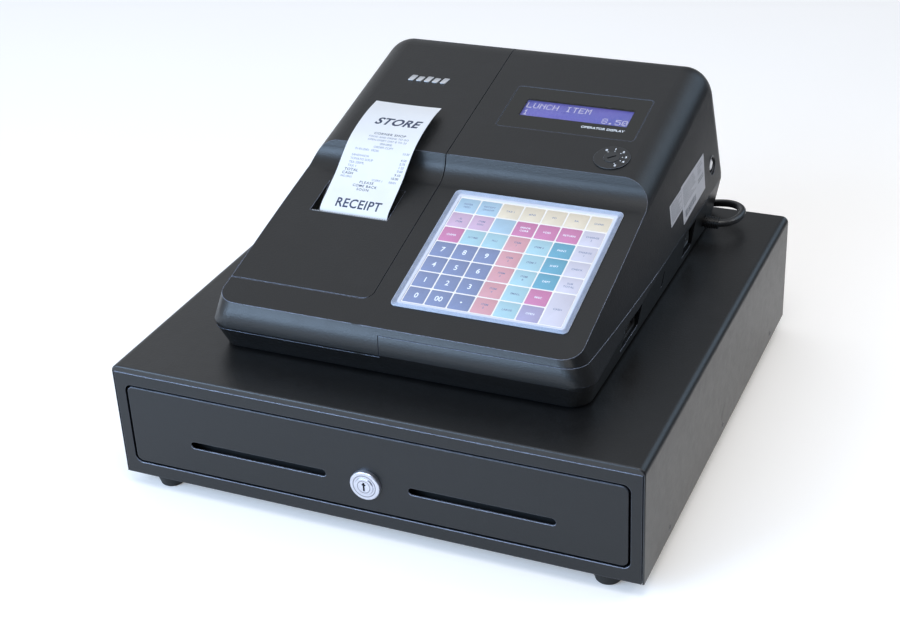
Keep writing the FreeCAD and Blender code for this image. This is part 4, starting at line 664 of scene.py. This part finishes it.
class Solid:
    """Collects closed shapes in one mesh; place maps (across, along, off) to the scene."""

    def __init__(self, place):
        self.place = place
        self.verts = []
        self.faces = []

    def rings(self, rings, capped=True):
        base, count = len(self.verts), len(rings[0])
        for ring in rings:
            self.verts += [self.place(*point) for point in ring]
        for i in range(len(rings) - 1):
            for j in range(count):
                a = base + i * count + j
                b = base + i * count + (j + 1) % count
                self.faces.append((a, b, b + count, a + count))
        if capped:
            last = base + (len(rings) - 1) * count
            self.faces.append(tuple(base + k for k in reversed(range(count))))
            self.faces.append(tuple(last + k for k in range(count)))

    def prism(self, outline, depth):
        self.rings([[(x, y, z) for x, y in outline] for z in depth])

    def box(self, x0, x1, y0, y1, depth):
        self.prism([(x0, y0), (x1, y0), (x1, y1), (x0, y1)], depth)

    def disc(self, x, y, radius, sides, depth):
        angles = [2 * math.pi * k / sides for k in range(sides)]
        self.prism([(x + radius * math.cos(a), y + radius * math.sin(a)) for a in angles], depth)

    def pad(self, x0, x1, y0, y1, radius, z0, z1, bevel):
        """Rounded plate with a bevelled top edge."""
        rings = []
        for inset, z in ((0, z0), (0, z1 - bevel), (bevel * 0.35, z1 - bevel * 0.3), (bevel, z1)):
            outline = rounded_rectangle(x0 + inset, x1 - inset, y0 + inset, y1 - inset,
                                        max(radius - inset, 0.05), 4)
            rings.append([(x, y, z) for x, y in outline])
        self.rings(rings)

    def sheet(self, width, columns, length, rows, outer, inner):
        """Thin closed sheet between the offsets outer and inner."""
        for off in (outer, inner):
            for i in range(rows + 1):
                self.verts += [self.place(width * j / columns, length * i / rows, off)
                               for j in range(columns + 1)]
        side_size = (rows + 1) * (columns + 1)

        def at(side, i, j):
            return side * side_size + i * (columns + 1) + j

        for i in range(rows):
            for j in range(columns):
                self.faces.append((at(0, i, j), at(0, i, j + 1),
                                   at(0, i + 1, j + 1), at(0, i + 1, j)))
                self.faces.append((at(1, i, j), at(1, i + 1, j),
                                   at(1, i + 1, j + 1), at(1, i, j + 1)))
        for i in range(rows):
            self.faces.append((at(0, i, 0), at(0, i + 1, 0), at(1, i + 1, 0), at(1, i, 0)))
            self.faces.append((at(0, i, columns), at(1, i, columns),
                               at(1, i + 1, columns), at(0, i + 1, columns)))
        for j in range(columns):
            self.faces.append((at(0, 0, j), at(1, 0, j), at(1, 0, j + 1), at(0, 0, j + 1)))
            self.faces.append((at(0, rows, j), at(0, rows, j + 1),
                               at(1, rows, j + 1), at(1, rows, j)))

    def text(self, words, x, y, size, depth, align="CENTER", bold=0.0, stretch=1.0, shear=0.0,
             track=1.0, cut=0.0):
        """Lettering as thin closed solids; (x, y) is the baseline anchor, depth is (z0, z1).
        With cut, the glyphs are sliced into strips so that they can follow a curved sheet."""
        curve = bpy.data.curves.new("glyphs", "FONT")
        curve.body, curve.size, curve.align_x = words, size, align
        curve.offset, curve.shear, curve.space_character = bold, shear, track
        curve.resolution_u, curve.extrude = 3, 0.5
        ob = bpy.data.objects.new("glyphs", curve)
        scene.collection.objects.link(ob)
        depsgraph = bpy.context.evaluated_depsgraph_get()
        mesh = bpy.data.meshes.new_from_object(ob.evaluated_get(depsgraph))
        if cut:
            slice_mesh(mesh, cut)
        base = len(self.verts)
        for vert in mesh.vertices:
            self.verts.append(self.place(x + vert.co.x * stretch, y + vert.co.y,
                                         depth[0] if vert.co.z < 0 else depth[1]))
        for polygon in mesh.polygons:
            self.faces.append(tuple(base + k for k in polygon.vertices))
        bpy.data.objects.remove(ob)
        bpy.data.curves.remove(curve)
        bpy.data.meshes.remove(mesh)

    def make(self, name, material, body, slot=None, sharp=35.0, attribute=None):
        """Builds the object; edges over sharp degrees are shaded sharp.
        attribute is (name, value per vertex)."""
        mesh = bpy.data.meshes.new(name)
        mesh.from_pydata([tuple(vert) for vert in self.verts], [], self.faces)
        mesh.validate()
        bm = bmesh.new()
        bm.from_mesh(mesh)
        bmesh.ops.recalc_face_normals(bm, faces=bm.faces[:])
        for face in bm.faces:
            face.smooth = True
        for edge in bm.edges:
            if len(edge.link_faces) == 2 and edge.calc_face_angle(0.0) > math.radians(sharp):
                edge.smooth = False
        bm.to_mesh(mesh)
        bm.free()
        if attribute:
            layer = mesh.attributes.new(attribute[0], "FLOAT", "POINT")
            layer.data.foreach_set("value", attribute[1])
        mesh.materials.append(materials[material])
        ob = bpy.data.objects.new(name, mesh)
        scene.collection.objects.link(ob)
        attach(ob, body)
        return ob


def slice_mesh(mesh, step):
    """Cuts a flat mesh along y, then x, at multiples of step."""
    bm = bmesh.new()
    bm.from_mesh(mesh)
    bmesh.ops.remove_doubles(bm, verts=bm.verts[:], dist=1e-5)
    ys = [vert.co.y for vert in bm.verts]
    xs = [vert.co.x for vert in bm.verts]
    for values, normal in ((ys, (0, 1, 0)), (xs, (1, 0, 0))):
        low, high = min(values), max(values)
        at = math.floor(low / step) * step + step
        while at < high:
            bmesh.ops.bisect_plane(bm, geom=bm.verts[:] + bm.edges[:] + bm.faces[:], dist=1e-6,
                                   plane_co=(at * normal[0], at * normal[1], 0),
                                   plane_no=normal)
            at += step
    bm.to_mesh(mesh)
    bm.free()


# ------------------------------------------------------------------ keyboard border
BORDER_GAP = 0.15           # between the legend sheet and the border's inner edge
sheet_x0, sheet_x1, sheet_near, sheet_far = deck_range("key_legend_sheet", 0.05, 0.55)
INNER = (sheet_x0 - BORDER_GAP, sheet_x1 + BORDER_GAP,
         sheet_near - BORDER_GAP, sheet_far + BORDER_GAP)
OUTER = deck_range("keyboard_frame", 0.05, 1.0)
OUTER_RADIUS, INNER_RADIUS = 4.0, 1.2

# Border section: (fraction of the way in, height) outside the ribs, (fraction of the rib's
# pitch, height) of one rib, and inside the ribs
BORDER_OUTSIDE = [(0.0, 0.06), (0.0, 0.62), (0.012, 0.82), (0.035, 0.93), (0.06, 0.97)]
BORDER_RIB = [(0.12, 0.80), (0.30, 0.72), (0.48, 0.80), (0.62, 0.95), (0.80, 1.0), (0.96, 0.93)]
BORDER_INSIDE = [(0.585, 0.86), (0.61, 0.80), (0.64, 0.86), (0.70, 0.90), (0.82, 0.89),
                 (0.92, 0.84), (0.97, 0.76), (1.0, 0.62), (1.0, 0.06)]


def keyboard_border():
    ribs = [(RIB_START + (i + part) * RIB_PITCH, z) for i in range(RIBS) for part, z in BORDER_RIB]
    rings, fractions = [], []
    for t, z in BORDER_OUTSIDE + ribs + BORDER_INSIDE:
        sides = [a + (b - a) * t for a, b in zip(OUTER, INNER)]
        radius = OUTER_RADIUS + (INNER_RADIUS - OUTER_RADIUS) * t
        ring = [(x, y, z) for x, y in rounded_rectangle(*sides, radius, 8)]
        rings.append(ring)
        fractions += [t] * len(ring)
    border = Solid(deck)
    border.rings(rings, capped=False)
    # the underside joins the innermost ring to the outermost
    count = len(rings[0])
    last = (len(rings) - 1) * count
    for j in range(count):
        k = (j + 1) % count
        border.faces.append((last + j, last + k, k, j))
    return border.make("keyboard_border", "key_border", "register", "key_frame", 60.0,
                       ("t", fractions))


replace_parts(keyboard_border(), "keyboard_frame")

# ------------------------------------------------------------------ keys
# Rows from the back of the deck to its front, each "colour:legend", with | between lines
KEYS = [
    ["sky:PAPER|FEED", "sky:RECEIPT|ON/OFF", "cream:TAX 1", "cream:#/NS", "cream:PO", "cream:RA",
     "cream:CLERK"],
    ["mauve:-%|ITEM", "mauve:ITEM|DISC", "sky:", "magenta:ERROR|CORR", "magenta:VOID",
     "magenta:RETURN", "pale:CHARGE|2"],
    ["magenta:CLEAR", "cyan:X/TIME", "cyan:PLU", "rose:ITEM|1", "cyan:ITEM 6", "teal:PRINT",
     "pale:CHARGE|1"],
    ["number:7", "number:8", "number:9", "rose:ITEM|2", "cyan:ITEM 7", "teal:SHIFT", "pale:CHECK"],
    ["number:4", "number:5", "number:6", "rose:ITEM|3", "cyan:ITEM|8", "teal:DEPT",
     "pale:SUB|TOTAL"],
    ["number:1", "number:2", "number:3", "rose:ITEM|4", "cyan:SMALL", "magenta:MISC", "pale:CASH"],
    ["number:0", "number:00", "number:dot", "rose:ITEM|5", "cyan:LARGE", "violet:OPEN", ""],
]
KEY_GAP_X, KEY_GAP_Y = 1.15, 1.25
keys_x0, keys_x1 = INNER[0] + 0.85, INNER[1] - 0.75
keys_near, keys_far = INNER[2] + 0.9, INNER[3] - 1.7
KEY_PITCH_X = (keys_x1 - keys_x0 + KEY_GAP_X) / 7.0
KEY_PITCH_Y = (keys_far - keys_near + KEY_GAP_Y) / 7.0
KEY_BOTTOM, KEY_TOP = 0.56, 0.70
NUMBER_INK = (KEY_TOP + 0.01, KEY_TOP + 0.05)
WORD_INK = (KEY_TOP + 0.01, KEY_TOP + 0.04)
LINE_PITCH = 3.3

key_pads = {kind: Solid(deck) for kind in KEY_COLORS}
white_legends, grey_legends = Solid(deck), Solid(deck)


def key_legend(kind, legend, x, y):
    """Prints a legend centred on (x, y)."""
    if legend == "dot":
        white_legends.disc(x, y, 0.75, 16, NUMBER_INK)
    elif kind == "number":
        white_legends.text(legend, x, y - 2.45, 7.0, NUMBER_INK, bold=0.11, stretch=0.86)
    elif legend:
        ink = white_legends if kind in ("magenta", "teal", "violet") else grey_legends
        lines = legend.split("|")
        for i, words in enumerate(lines):
            baseline = y - 0.85 + (len(lines) - 1) * LINE_PITCH / 2 - i * LINE_PITCH
            # long words are squeezed to 13 mm
            squeeze = min(1.0, 13.0 / max(1.0, 1.75 * len(words)))
            ink.text(words, x, baseline, 2.55, WORD_INK, bold=0.03, stretch=squeeze)


for i, key_row in enumerate(KEYS):
    for j, key in enumerate(key_row):
        if not key:
            continue
        kind, legend = key.split(":")
        x0 = keys_x0 + j * KEY_PITCH_X
        x1 = x0 + KEY_PITCH_X - KEY_GAP_X
        far = keys_far - i * KEY_PITCH_Y
        near = far - KEY_PITCH_Y + KEY_GAP_Y
        if legend == "CASH":        # two rows deep
            near -= KEY_PITCH_Y
        key_pads[kind].pad(x0, x1, near, far, 0.9, KEY_BOTTOM, KEY_TOP, bevel=0.07)
        key_legend(kind, legend, (x0 + x1) / 2, (near + far) / 2)
for kind, pads in key_pads.items():
    pads.make("keys_" + kind, "key_" + kind, "register", "key_sheet", 50.0)
white_legends.make("key_legends_white", "white_ink", "register")
grey_legends.make("key_legends_grey", "grey_ink", "register")

# ------------------------------------------------------------------ operator display
# Character dots, rows from the top down
DOT_FONT = {
    "L": "10000 10000 10000 10000 10000 10000 11111",
    "U": "10001 10001 10001 10001 10001 10001 01110",
    "N": "10001 11001 10101 10011 10001 10001 10001",
    "C": "01110 10001 10000 10000 10000 10001 01110",
    "H": "10001 10001 10001 11111 10001 10001 10001",
    "E": "11111 10000 10000 11110 10000 10000 11111",
    "T": "11111 00100 00100 00100 00100 00100 00100",
    "I": "01110 00100 00100 00100 00100 00100 01110",
    "M": "10001 11011 10101 10101 10001 10001 10001",
    "0": "01110 10001 10011 10101 11001 10001 01110",
    "1": "00100 01100 00100 00100 00100 00100 01110",
    "5": "11111 10000 11110 00001 00001 10001 01110",
    "8": "01110 10001 10001 01110 10001 10001 01110",
    ".": "00000 00000 00000 00000 00000 01100 01100",
    " ": "",
}
SCREEN_OVERLAP = 0.6        # the screen reaches this far past its opening
TEXT_MARGIN = 0.8           # left and right of the sixteen characters
CHARACTER_PITCH = (SCREEN_X1 - SCREEN_X0 - 2 * TEXT_MARGIN) / SCREEN_COLUMNS
DOT_WIDTH, DOT_HEIGHT = 0.76, 0.84
DOT_PITCH_X, DOT_PITCH_Y = 0.90, 0.98

screen = Solid(panel)
screen.pad(SCREEN_X0 - SCREEN_OVERLAP, SCREEN_X1 + SCREEN_OVERLAP, SCREEN_NEAR - SCREEN_OVERLAP,
           SCREEN_FAR + SCREEN_OVERLAP, 0.5, -1.745, -1.70, bevel=0.02)
screen.make("display_screen", "lcd_screen", "register", "lcd_glass")

dots = Solid(panel)
# words, first column, distance of their top below the screen's far edge
for words, first, drop in (("LUNCH ITEM", 0, 3.0), ("1", 0, 12.6), ("8.50", 12, 12.6)):
    for i, character in enumerate(words):
        left = SCREEN_X0 + TEXT_MARGIN + (first + i) * CHARACTER_PITCH + 0.5
        for down, dot_row in enumerate(DOT_FONT[character].split()):
            for across, lit in enumerate(dot_row):
                if lit == "1":
                    x0 = left + across * DOT_PITCH_X
                    y1 = SCREEN_FAR - drop - down * DOT_PITCH_Y
                    dots.box(x0, x0 + DOT_WIDTH, y1 - DOT_HEIGHT, y1, (-1.695, -1.675))
dots.make("display_characters", "lcd_dots", "register", "lcd_glass")

caption = Solid(panel)
caption.text("OPERATOR DISPLAY", 102.4, 53.9, 3.9, (-0.105, -0.075), "RIGHT", bold=0.05,
             stretch=0.98)
caption.make("window_caption", "white_ink", "register")

# ------------------------------------------------------------------ mode key marks
DIAL_X, DIAL_Y = 103.9, panel_along(234.3)
DIAL_ANGLES = (129, 91, 50, 12, -20, -60)       # degrees, for positions 0 to 5
FIGURE_RADIUS, MARK_RADIUS = 10.6, 7.9
DIAL_INK = (0.955, 0.985)

dial = Solid(panel)
for position, degrees in enumerate(DIAL_ANGLES):
    cosine, sine = math.cos(math.radians(degrees)), math.sin(math.radians(degrees))
    dial.text(str(position), DIAL_X + FIGURE_RADIUS * cosine,
              DIAL_Y + FIGURE_RADIUS * sine - 1.0, 3.0, DIAL_INK, bold=0.09, stretch=1.15)
    dial.disc(DIAL_X + MARK_RADIUS * cosine, DIAL_Y + MARK_RADIUS * sine, 0.42, 12, DIAL_INK)
dial.make("mode_dial_marks", "white_ink", "register")

# ------------------------------------------------------------------ badge of five slanted bars
BADGE_X, BADGE_NEAR = -94.5, panel_along(302.2)
BAR_PITCH, BAR_WIDTH = 7.1, 4.9
TALL_BAR, SHORT_BAR = 7.4, 6.3
BAR_SLANT = 1.9             # sideways shift over a tall bar


def slanted(x, along, off):
    return panel(x + BAR_SLANT * (along - BADGE_NEAR) / TALL_BAR, along, off)


badge = Solid(slanted)
for i in range(5):
    x0 = BADGE_X + i * BAR_PITCH
    height = SHORT_BAR if i % 2 else TALL_BAR
    badge.pad(x0, x0 + BAR_WIDTH, BADGE_NEAR, BADGE_NEAR + height, 0.7, 0.0, 0.55, bevel=0.2)
badge.make("cover_badge", "silver_badge", "cover")

# ------------------------------------------------------------------ receipt
# Side view of the paper, (y, z) from the drawer's front and the casing's underside
PAPER_PATH = [
    (156.6, 151.5), (155.2, 158.0), (155.3, 163.5), (159.0, 167.9), (169.4, 173.6),
    (184.6, 182.6), (195.0, 190.8), (205.0, 198.2), (215.0, 203.2), (230.0, 207.9),
    (246.0, 211.2), (261.6, 212.7),
]
PAPER_X0, PAPER_WIDTH = -105.0, 57.0
PAPER_HALF_THICKNESS = 0.05
PRINT = (PAPER_HALF_THICKNESS + 0.012, PAPER_HALF_THICKNESS + 0.04)


def catmull(before, start, end, after, t):
    """Point at t between start and end of a Catmull-Rom curve."""
    return [0.5 * (2 * b + (c - a) * t + (2 * a - 5 * b + 4 * c - d) * t * t
                   + (3 * b - a - 3 * c + d) * t ** 3)
            for a, b, c, d in zip(before, start, end, after)]


path = []
last = len(PAPER_PATH) - 1
for i in range(last):
    for k in range(12):
        path.append(catmull(PAPER_PATH[max(i - 1, 0)], PAPER_PATH[i], PAPER_PATH[i + 1],
                            PAPER_PATH[min(i + 2, last)], k / 12.0))
path.append(list(PAPER_PATH[-1]))
travelled = [0.0]
for a, b in zip(path[:-1], path[1:]):
    travelled.append(travelled[-1] + math.hypot(b[0] - a[0], b[1] - a[1]))
PAPER_LENGTH = travelled[-1]


def on_path(along):
    along = min(max(along, 0.0), PAPER_LENGTH)
    i = min(bisect.bisect_right(travelled, along) - 1, len(travelled) - 2)
    t = (along - travelled[i]) / (travelled[i + 1] - travelled[i])
    a, b = path[i], path[i + 1]
    return a[0] + (b[0] - a[0]) * t, a[1] + (b[1] - a[1]) * t


def on_paper(across, along, off=0.0):
    """Point across from the left edge, along from the path's lower front end and off the
    printed side; the free part curls, ripples and leans to the right."""
    a, b = on_path(along - 0.7), on_path(along + 0.7)
    y, z = on_path(along)
    length = math.hypot(b[0] - a[0], b[1] - a[1]) or 1.0
    normal_y, normal_z = -(b[1] - a[1]) / length, (b[0] - a[0]) / length
    side = (across / PAPER_WIDTH) * 2.0 - 1.0
    free = min(max((along - 22.0) / 90.0, 0.0), 1.0)
    curl = free * (0.55 * side * side - 0.20)
    ripple = 0.10 * free * math.sin(along * 0.11 + side * 1.3)
    lift = curl + ripple + off
    lean = min(max((along - 24.0) / 60.0, 0.0), 1.0)
    shift = 1.3 * lean * lean * (3.0 - 2.0 * lean)
    return from_drawer(PAPER_X0 + across + shift, y + normal_y * lift, z + normal_z * lift)


paper = Solid(on_paper)
paper.sheet(PAPER_WIDTH, 24, PAPER_LENGTH, 132, PAPER_HALF_THICKNESS, -PAPER_HALF_THICKNESS)
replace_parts(paper.make("receipt_paper", "paper", "cover", "paper", 60.0), "receipt")

dark, soft = Solid(on_paper), Solid(on_paper)


def line(ink, words, across, along, size, align="CENTER", **style):
    """Prints a line; only large lettering is cut to follow the curl."""
    ink.text(words, across, along, size, PRINT, align, cut=0.8 if size > 5 else 0.0, **style)


line(dark, "STORE", 31.0, 99.9, 12.2, bold=0.34, stretch=0.98, track=1.06, shear=0.28)
line(dark, "CORNER SHOP", 31.5, 87.2, 3.5, bold=0.03, stretch=1.05, track=1.12)
line(soft, "FOOD AND DRINK TO GO", 32.0, 83.6, 2.7, track=1.05)
line(soft, "OPEN EVERY DAY 8 TO 20", 32.0, 80.2, 2.7, track=1.05)
line(soft, "000-0000", 32.4, 76.6, 2.7)
line(soft, "ORDER COPY", 31.5, 73.4, 2.7)
line(soft, "01/01/2001  MON", 8.5, 69.9, 2.7, "LEFT")
line(soft, "10:30", 55.0, 69.9, 2.7, "RIGHT")
for along, item, price in ((64.2, "SANDWICH", "4.50"), (61.0, "TOMATO SOUP", "2.75"),
                           (57.8, "TEA 200ML", "1.25"), (54.7, "TAX 1", "0.60")):
    line(soft, item, 7.5, along, 2.75, "LEFT")
    line(soft, price, 54.5, along, 2.75, "RIGHT", bold=0.02)
for along, item, left, sum_, right in ((51.2, "TOTAL", 6.0, "9.10", 53.8),
                                       (48.0, "CASH", 5.2, "10.00", 53.2)):
    line(dark, item, left, along, 3.2, "LEFT", bold=0.03, stretch=1.1, track=1.08)
    line(dark, sum_, right, along, 2.9, "RIGHT", bold=0.02)
line(soft, "NO.0001", 5.0, 45.0, 2.6, "LEFT")
line(soft, "CLERK 1", 32.0, 44.6, 2.5, "LEFT")
line(soft, "00001", 53.0, 44.4, 2.6, "RIGHT")
line(dark, "PLEASE", 28.8, 41.2, 3.2, bold=0.03, track=1.25)
line(dark, "COME BACK", 28.6, 37.8, 3.2, bold=0.03, track=1.18)
line(dark, "SOON", 28.2, 34.4, 3.2, bold=0.03, track=1.25)
line(dark, "RECEIPT", 30.2, 17.6, 11.6, bold=0.22, stretch=0.84, track=1.08)
dark.make("receipt_print_dark", "print_ink", "cover", "paper")
soft.make("receipt_print_soft", "print_ink_soft", "cover", "paper")

# ------------------------------------------------------------------ stickers on the right wall
# Corners (y, z) from the drawer's front and the casing's underside:
# low front, low rear, high rear, high front
LARGE_LABEL = ((269.2, 136.6), (330.6, 141.4), (334.6, 169.6), (274.2, 165.6))
SMALL_LABEL = ((242.2, 146.4), (272.4, 148.9), (275.8, 164.4), (245.2, 162.2))
FILM = 0.07                 # thickness of a sticker

bm = bmesh.new()
bm.from_mesh(nodes["upper_case"].data)
wall = BVHTree.FromBMesh(bm)
bm.free()


def on_wall(y, z, off):
    """Point of the case's right wall, found by a ray from the right."""
    start = from_drawer(400.0, y, z)
    hit, normal, _, _ = wall.ray_cast(start, Vector((-1, 0, 0)))
    if hit is None:
        return start
    return hit + (normal if normal.x > 0 else -normal) * off * MM


def patch(corners):
    """Placing function over a four-cornered patch of the wall, with u and v from 0 to 1."""
    low_front, low_rear, high_rear, high_front = corners

    def place(u, v, off):
        y, z = [(lf * (1 - u) + lr * u) * (1 - v) + (hf * (1 - u) + hr * u) * v
                for lf, lr, hr, hf in zip(low_front, low_rear, high_rear, high_front)]
        return on_wall(y, z, off)
    return place


def sticker(name, corners, off):
    film = Solid(patch(corners))
    film.sheet(1.0, 10, 1.0, 8, off + FILM, off)
    film.make(name, "label_film", "register", None, 60.0)


def print_rules(name, corners, off, rules):
    """Printed bars (u0, u1, v0, v1), split along u to follow the wall."""
    ink = Solid(patch(corners))
    for u0, u1, v0, v1 in rules:
        parts = max(1, int((u1 - u0) * 14))
        for k in range(parts):
            ink.box(u0 + (u1 - u0) * k / parts, u0 + (u1 - u0) * (k + 1) / parts, v0, v1,
                    (off, off + 0.03))
    ink.make(name, "label_ink", "register")


sticker("side_label_small", SMALL_LABEL, 0.02)
sticker("side_label_large", LARGE_LABEL, 0.12)

draw = random.Random(5)
rules = []
for i in range(9):          # text lines at the front
    v = 0.90 - i * 0.058
    rules.append((0.06, 0.06 + draw.uniform(0.35, 0.55), v - 0.016, v))
for i in range(4):          # short lines at the rear
    v = 0.90 - i * 0.075
    rules.append((0.70, 0.70 + draw.uniform(0.12, 0.22), v - 0.018, v))
for i in range(2):          # two heavier bars below them
    v = 0.52 - i * 0.07
    rules.append((0.70, 0.94, v - 0.03, v))
u = 0.10
while u < 0.58:             # upright bars along the bottom
    width = draw.choice((0.006, 0.010, 0.016))
    rules.append((u, u + width, 0.10, 0.28))
    u += width + draw.choice((0.007, 0.012))
print_rules("side_label_large_rules", LARGE_LABEL, 0.205, rules)

rules = []
for i in range(10):
    v = 0.92 - i * 0.085
    rules.append((0.08, 0.92 - draw.uniform(0.0, 0.3), v - 0.028, v))
print_rules("side_label_small_rules", SMALL_LABEL, 0.105, rules)


# ------------------------------------------------------------------ studio
def floor_material():
    """Pale, faintly glowing floor that reflects as dark grey to the right of the register."""
    net = new_shader("floor")
    color = net.mix(net.noise(3.0, detail=4.0, rough=0.6), rgba((0.90, 0.90, 0.90)),
                    rgba((0.93, 0.93, 0.93)))
    pale = net.principled(color, 0.85, net.bump(net.noise(600.0), 1e-5), specular=0.1,
                          emission=(1.0, 0.93, 0.84, 1.0), emission_strength=0.20)
    dim = net.principled((0.16, 0.16, 0.17, 1.0), 0.85, specular=0.1)
    right = net.remap(net.split()["X"], 0.245, 0.40, smooth=True)
    glossy = net.node("ShaderNodeLightPath").outputs["Is Glossy Ray"]
    return net.finish(net.blend(net.mul(right, glossy), pale, dim))


def build_floor(radius=9.0, sides=48):
    angles = [2 * math.pi * i / sides for i in range(sides)]
    mesh = bpy.data.meshes.new("floor")
    mesh.from_pydata([(radius * math.cos(a), radius * math.sin(a), 0.0) for a in angles], [],
                     [tuple(range(sides))])
    floor = bpy.data.objects.new("floor", mesh)
    scene.collection.objects.link(floor)
    mesh.materials.append(floor_material())


def build_world():
    """Grey sky, paler towards the top; low down it is brighter on the left than the right."""
    world = bpy.data.worlds.new("studio")
    scene.world = world
    net = Shader(world, "ShaderNodeOutputWorld")
    direction = net.split(net.coords["Generated"])
    ramp = net.node("ShaderNodeValToRGB", {0: direction["Z"]})
    stops = ramp.color_ramp.elements
    stops[0].position, stops[0].color = 0.0, (0.42, 0.44, 0.47, 1.0)
    stops[1].position, stops[1].color = 1.0, (0.80, 0.82, 0.86, 1.0)
    for position, color in ((0.45, (0.47, 0.49, 0.52, 1.0)), (0.75, (0.68, 0.70, 0.74, 1.0))):
        stops.new(position).color = color
    sideways = net.remap(direction["X"], -0.65, -0.05, 1.55, 0.32, smooth=True)
    overhead = net.remap(direction["Z"], 0.45, 0.80, smooth=True)
    # inputs 2 and 3 are the mix node's plain numbers, 6 and 7 its colours
    gain = net.node("ShaderNodeMix", {0: overhead, 2: sideways, 3: 1.0}, data_type="FLOAT")
    sky = net.node("ShaderNodeMix", {0: 1.0, 6: ramp.outputs[0], 7: gain.outputs[0]},
                   data_type="RGBA", blend_type="MULTIPLY")
    net.finish(net.node("ShaderNodeBackground", {0: sky.outputs[2], 1: 1.0}).outputs[0])


def area(name, location, target, size, power, color, size_y=None, spread=None):
    """Area light aimed at target; spread in degrees."""
    light = bpy.data.lights.new(name, "AREA")
    light.energy, light.color, light.size = power, color, size
    if size_y:
        light.shape, light.size_y = "RECTANGLE", size_y
    if spread:
        light.spread = math.radians(spread)
    ob = bpy.data.objects.new(name, light)
    ob.location = location
    ob.rotation_mode = "QUATERNION"
    ob.rotation_quaternion = (Vector(target) - Vector(location)).to_track_quat("-Z", "Y")
    scene.collection.objects.link(ob)
    return ob


def build_camera():
    data = bpy.data.cameras.new("camera")
    data.sensor_fit = "HORIZONTAL"
    data.sensor_width = 36.0
    data.lens = 66.1816
    data.clip_start, data.clip_end = 0.05, 60.0
    camera = bpy.data.objects.new("camera", data)
    location = Vector((0.46364882, -1.05333384, 0.71333802))
    rotation = Matrix(((0.91772699, -0.15518103, 0.36564466),
                       (0.39475502, 0.45853871, -0.79618511),
                       (-0.04410941, 0.87502063, 0.48207184)))
    camera.matrix_world = Matrix.Translation(location) @ rotation.to_4x4()
    scene.collection.objects.link(camera)
    scene.camera = camera


build_floor()
build_world()
area("front_left", (-1.20, -1.55, 0.95), target=(0.0, 0.0, 0.12), size=1.1, power=36.0,
     color=(0.50, 0.71, 1.0))
area("front", (-0.30, -1.90, 0.85), target=(0.0, 0.0, 0.12), size=1.1, size_y=0.8, power=13.0,
     color=(0.50, 0.72, 1.0))
area("floor_right", (1.25, 0.35, 1.1), target=(0.50, 0.15, 0.0), size=0.5, power=0.6,
     color=(1.0, 1.0, 1.0), spread=60.0)
area("overhead", (0.35, -0.70, 2.0), target=(0.0, 0.0, 0.1), size=0.8, power=9.0,
     color=(1.0, 0.97, 0.93))
shoulder = area("rear_right", (1.00, 1.10, 0.88), target=(0.135, 0.06, 0.21), size=1.3,
                size_y=1.0, power=5.5, color=(0.55, 0.76, 1.0))
shoulder.visible_diffuse = False     # seen in reflections only
scene.view_settings.view_transform = "Standard"
scene.view_settings.look = "None"
scene.view_settings.exposure = 0.0
build_camera()
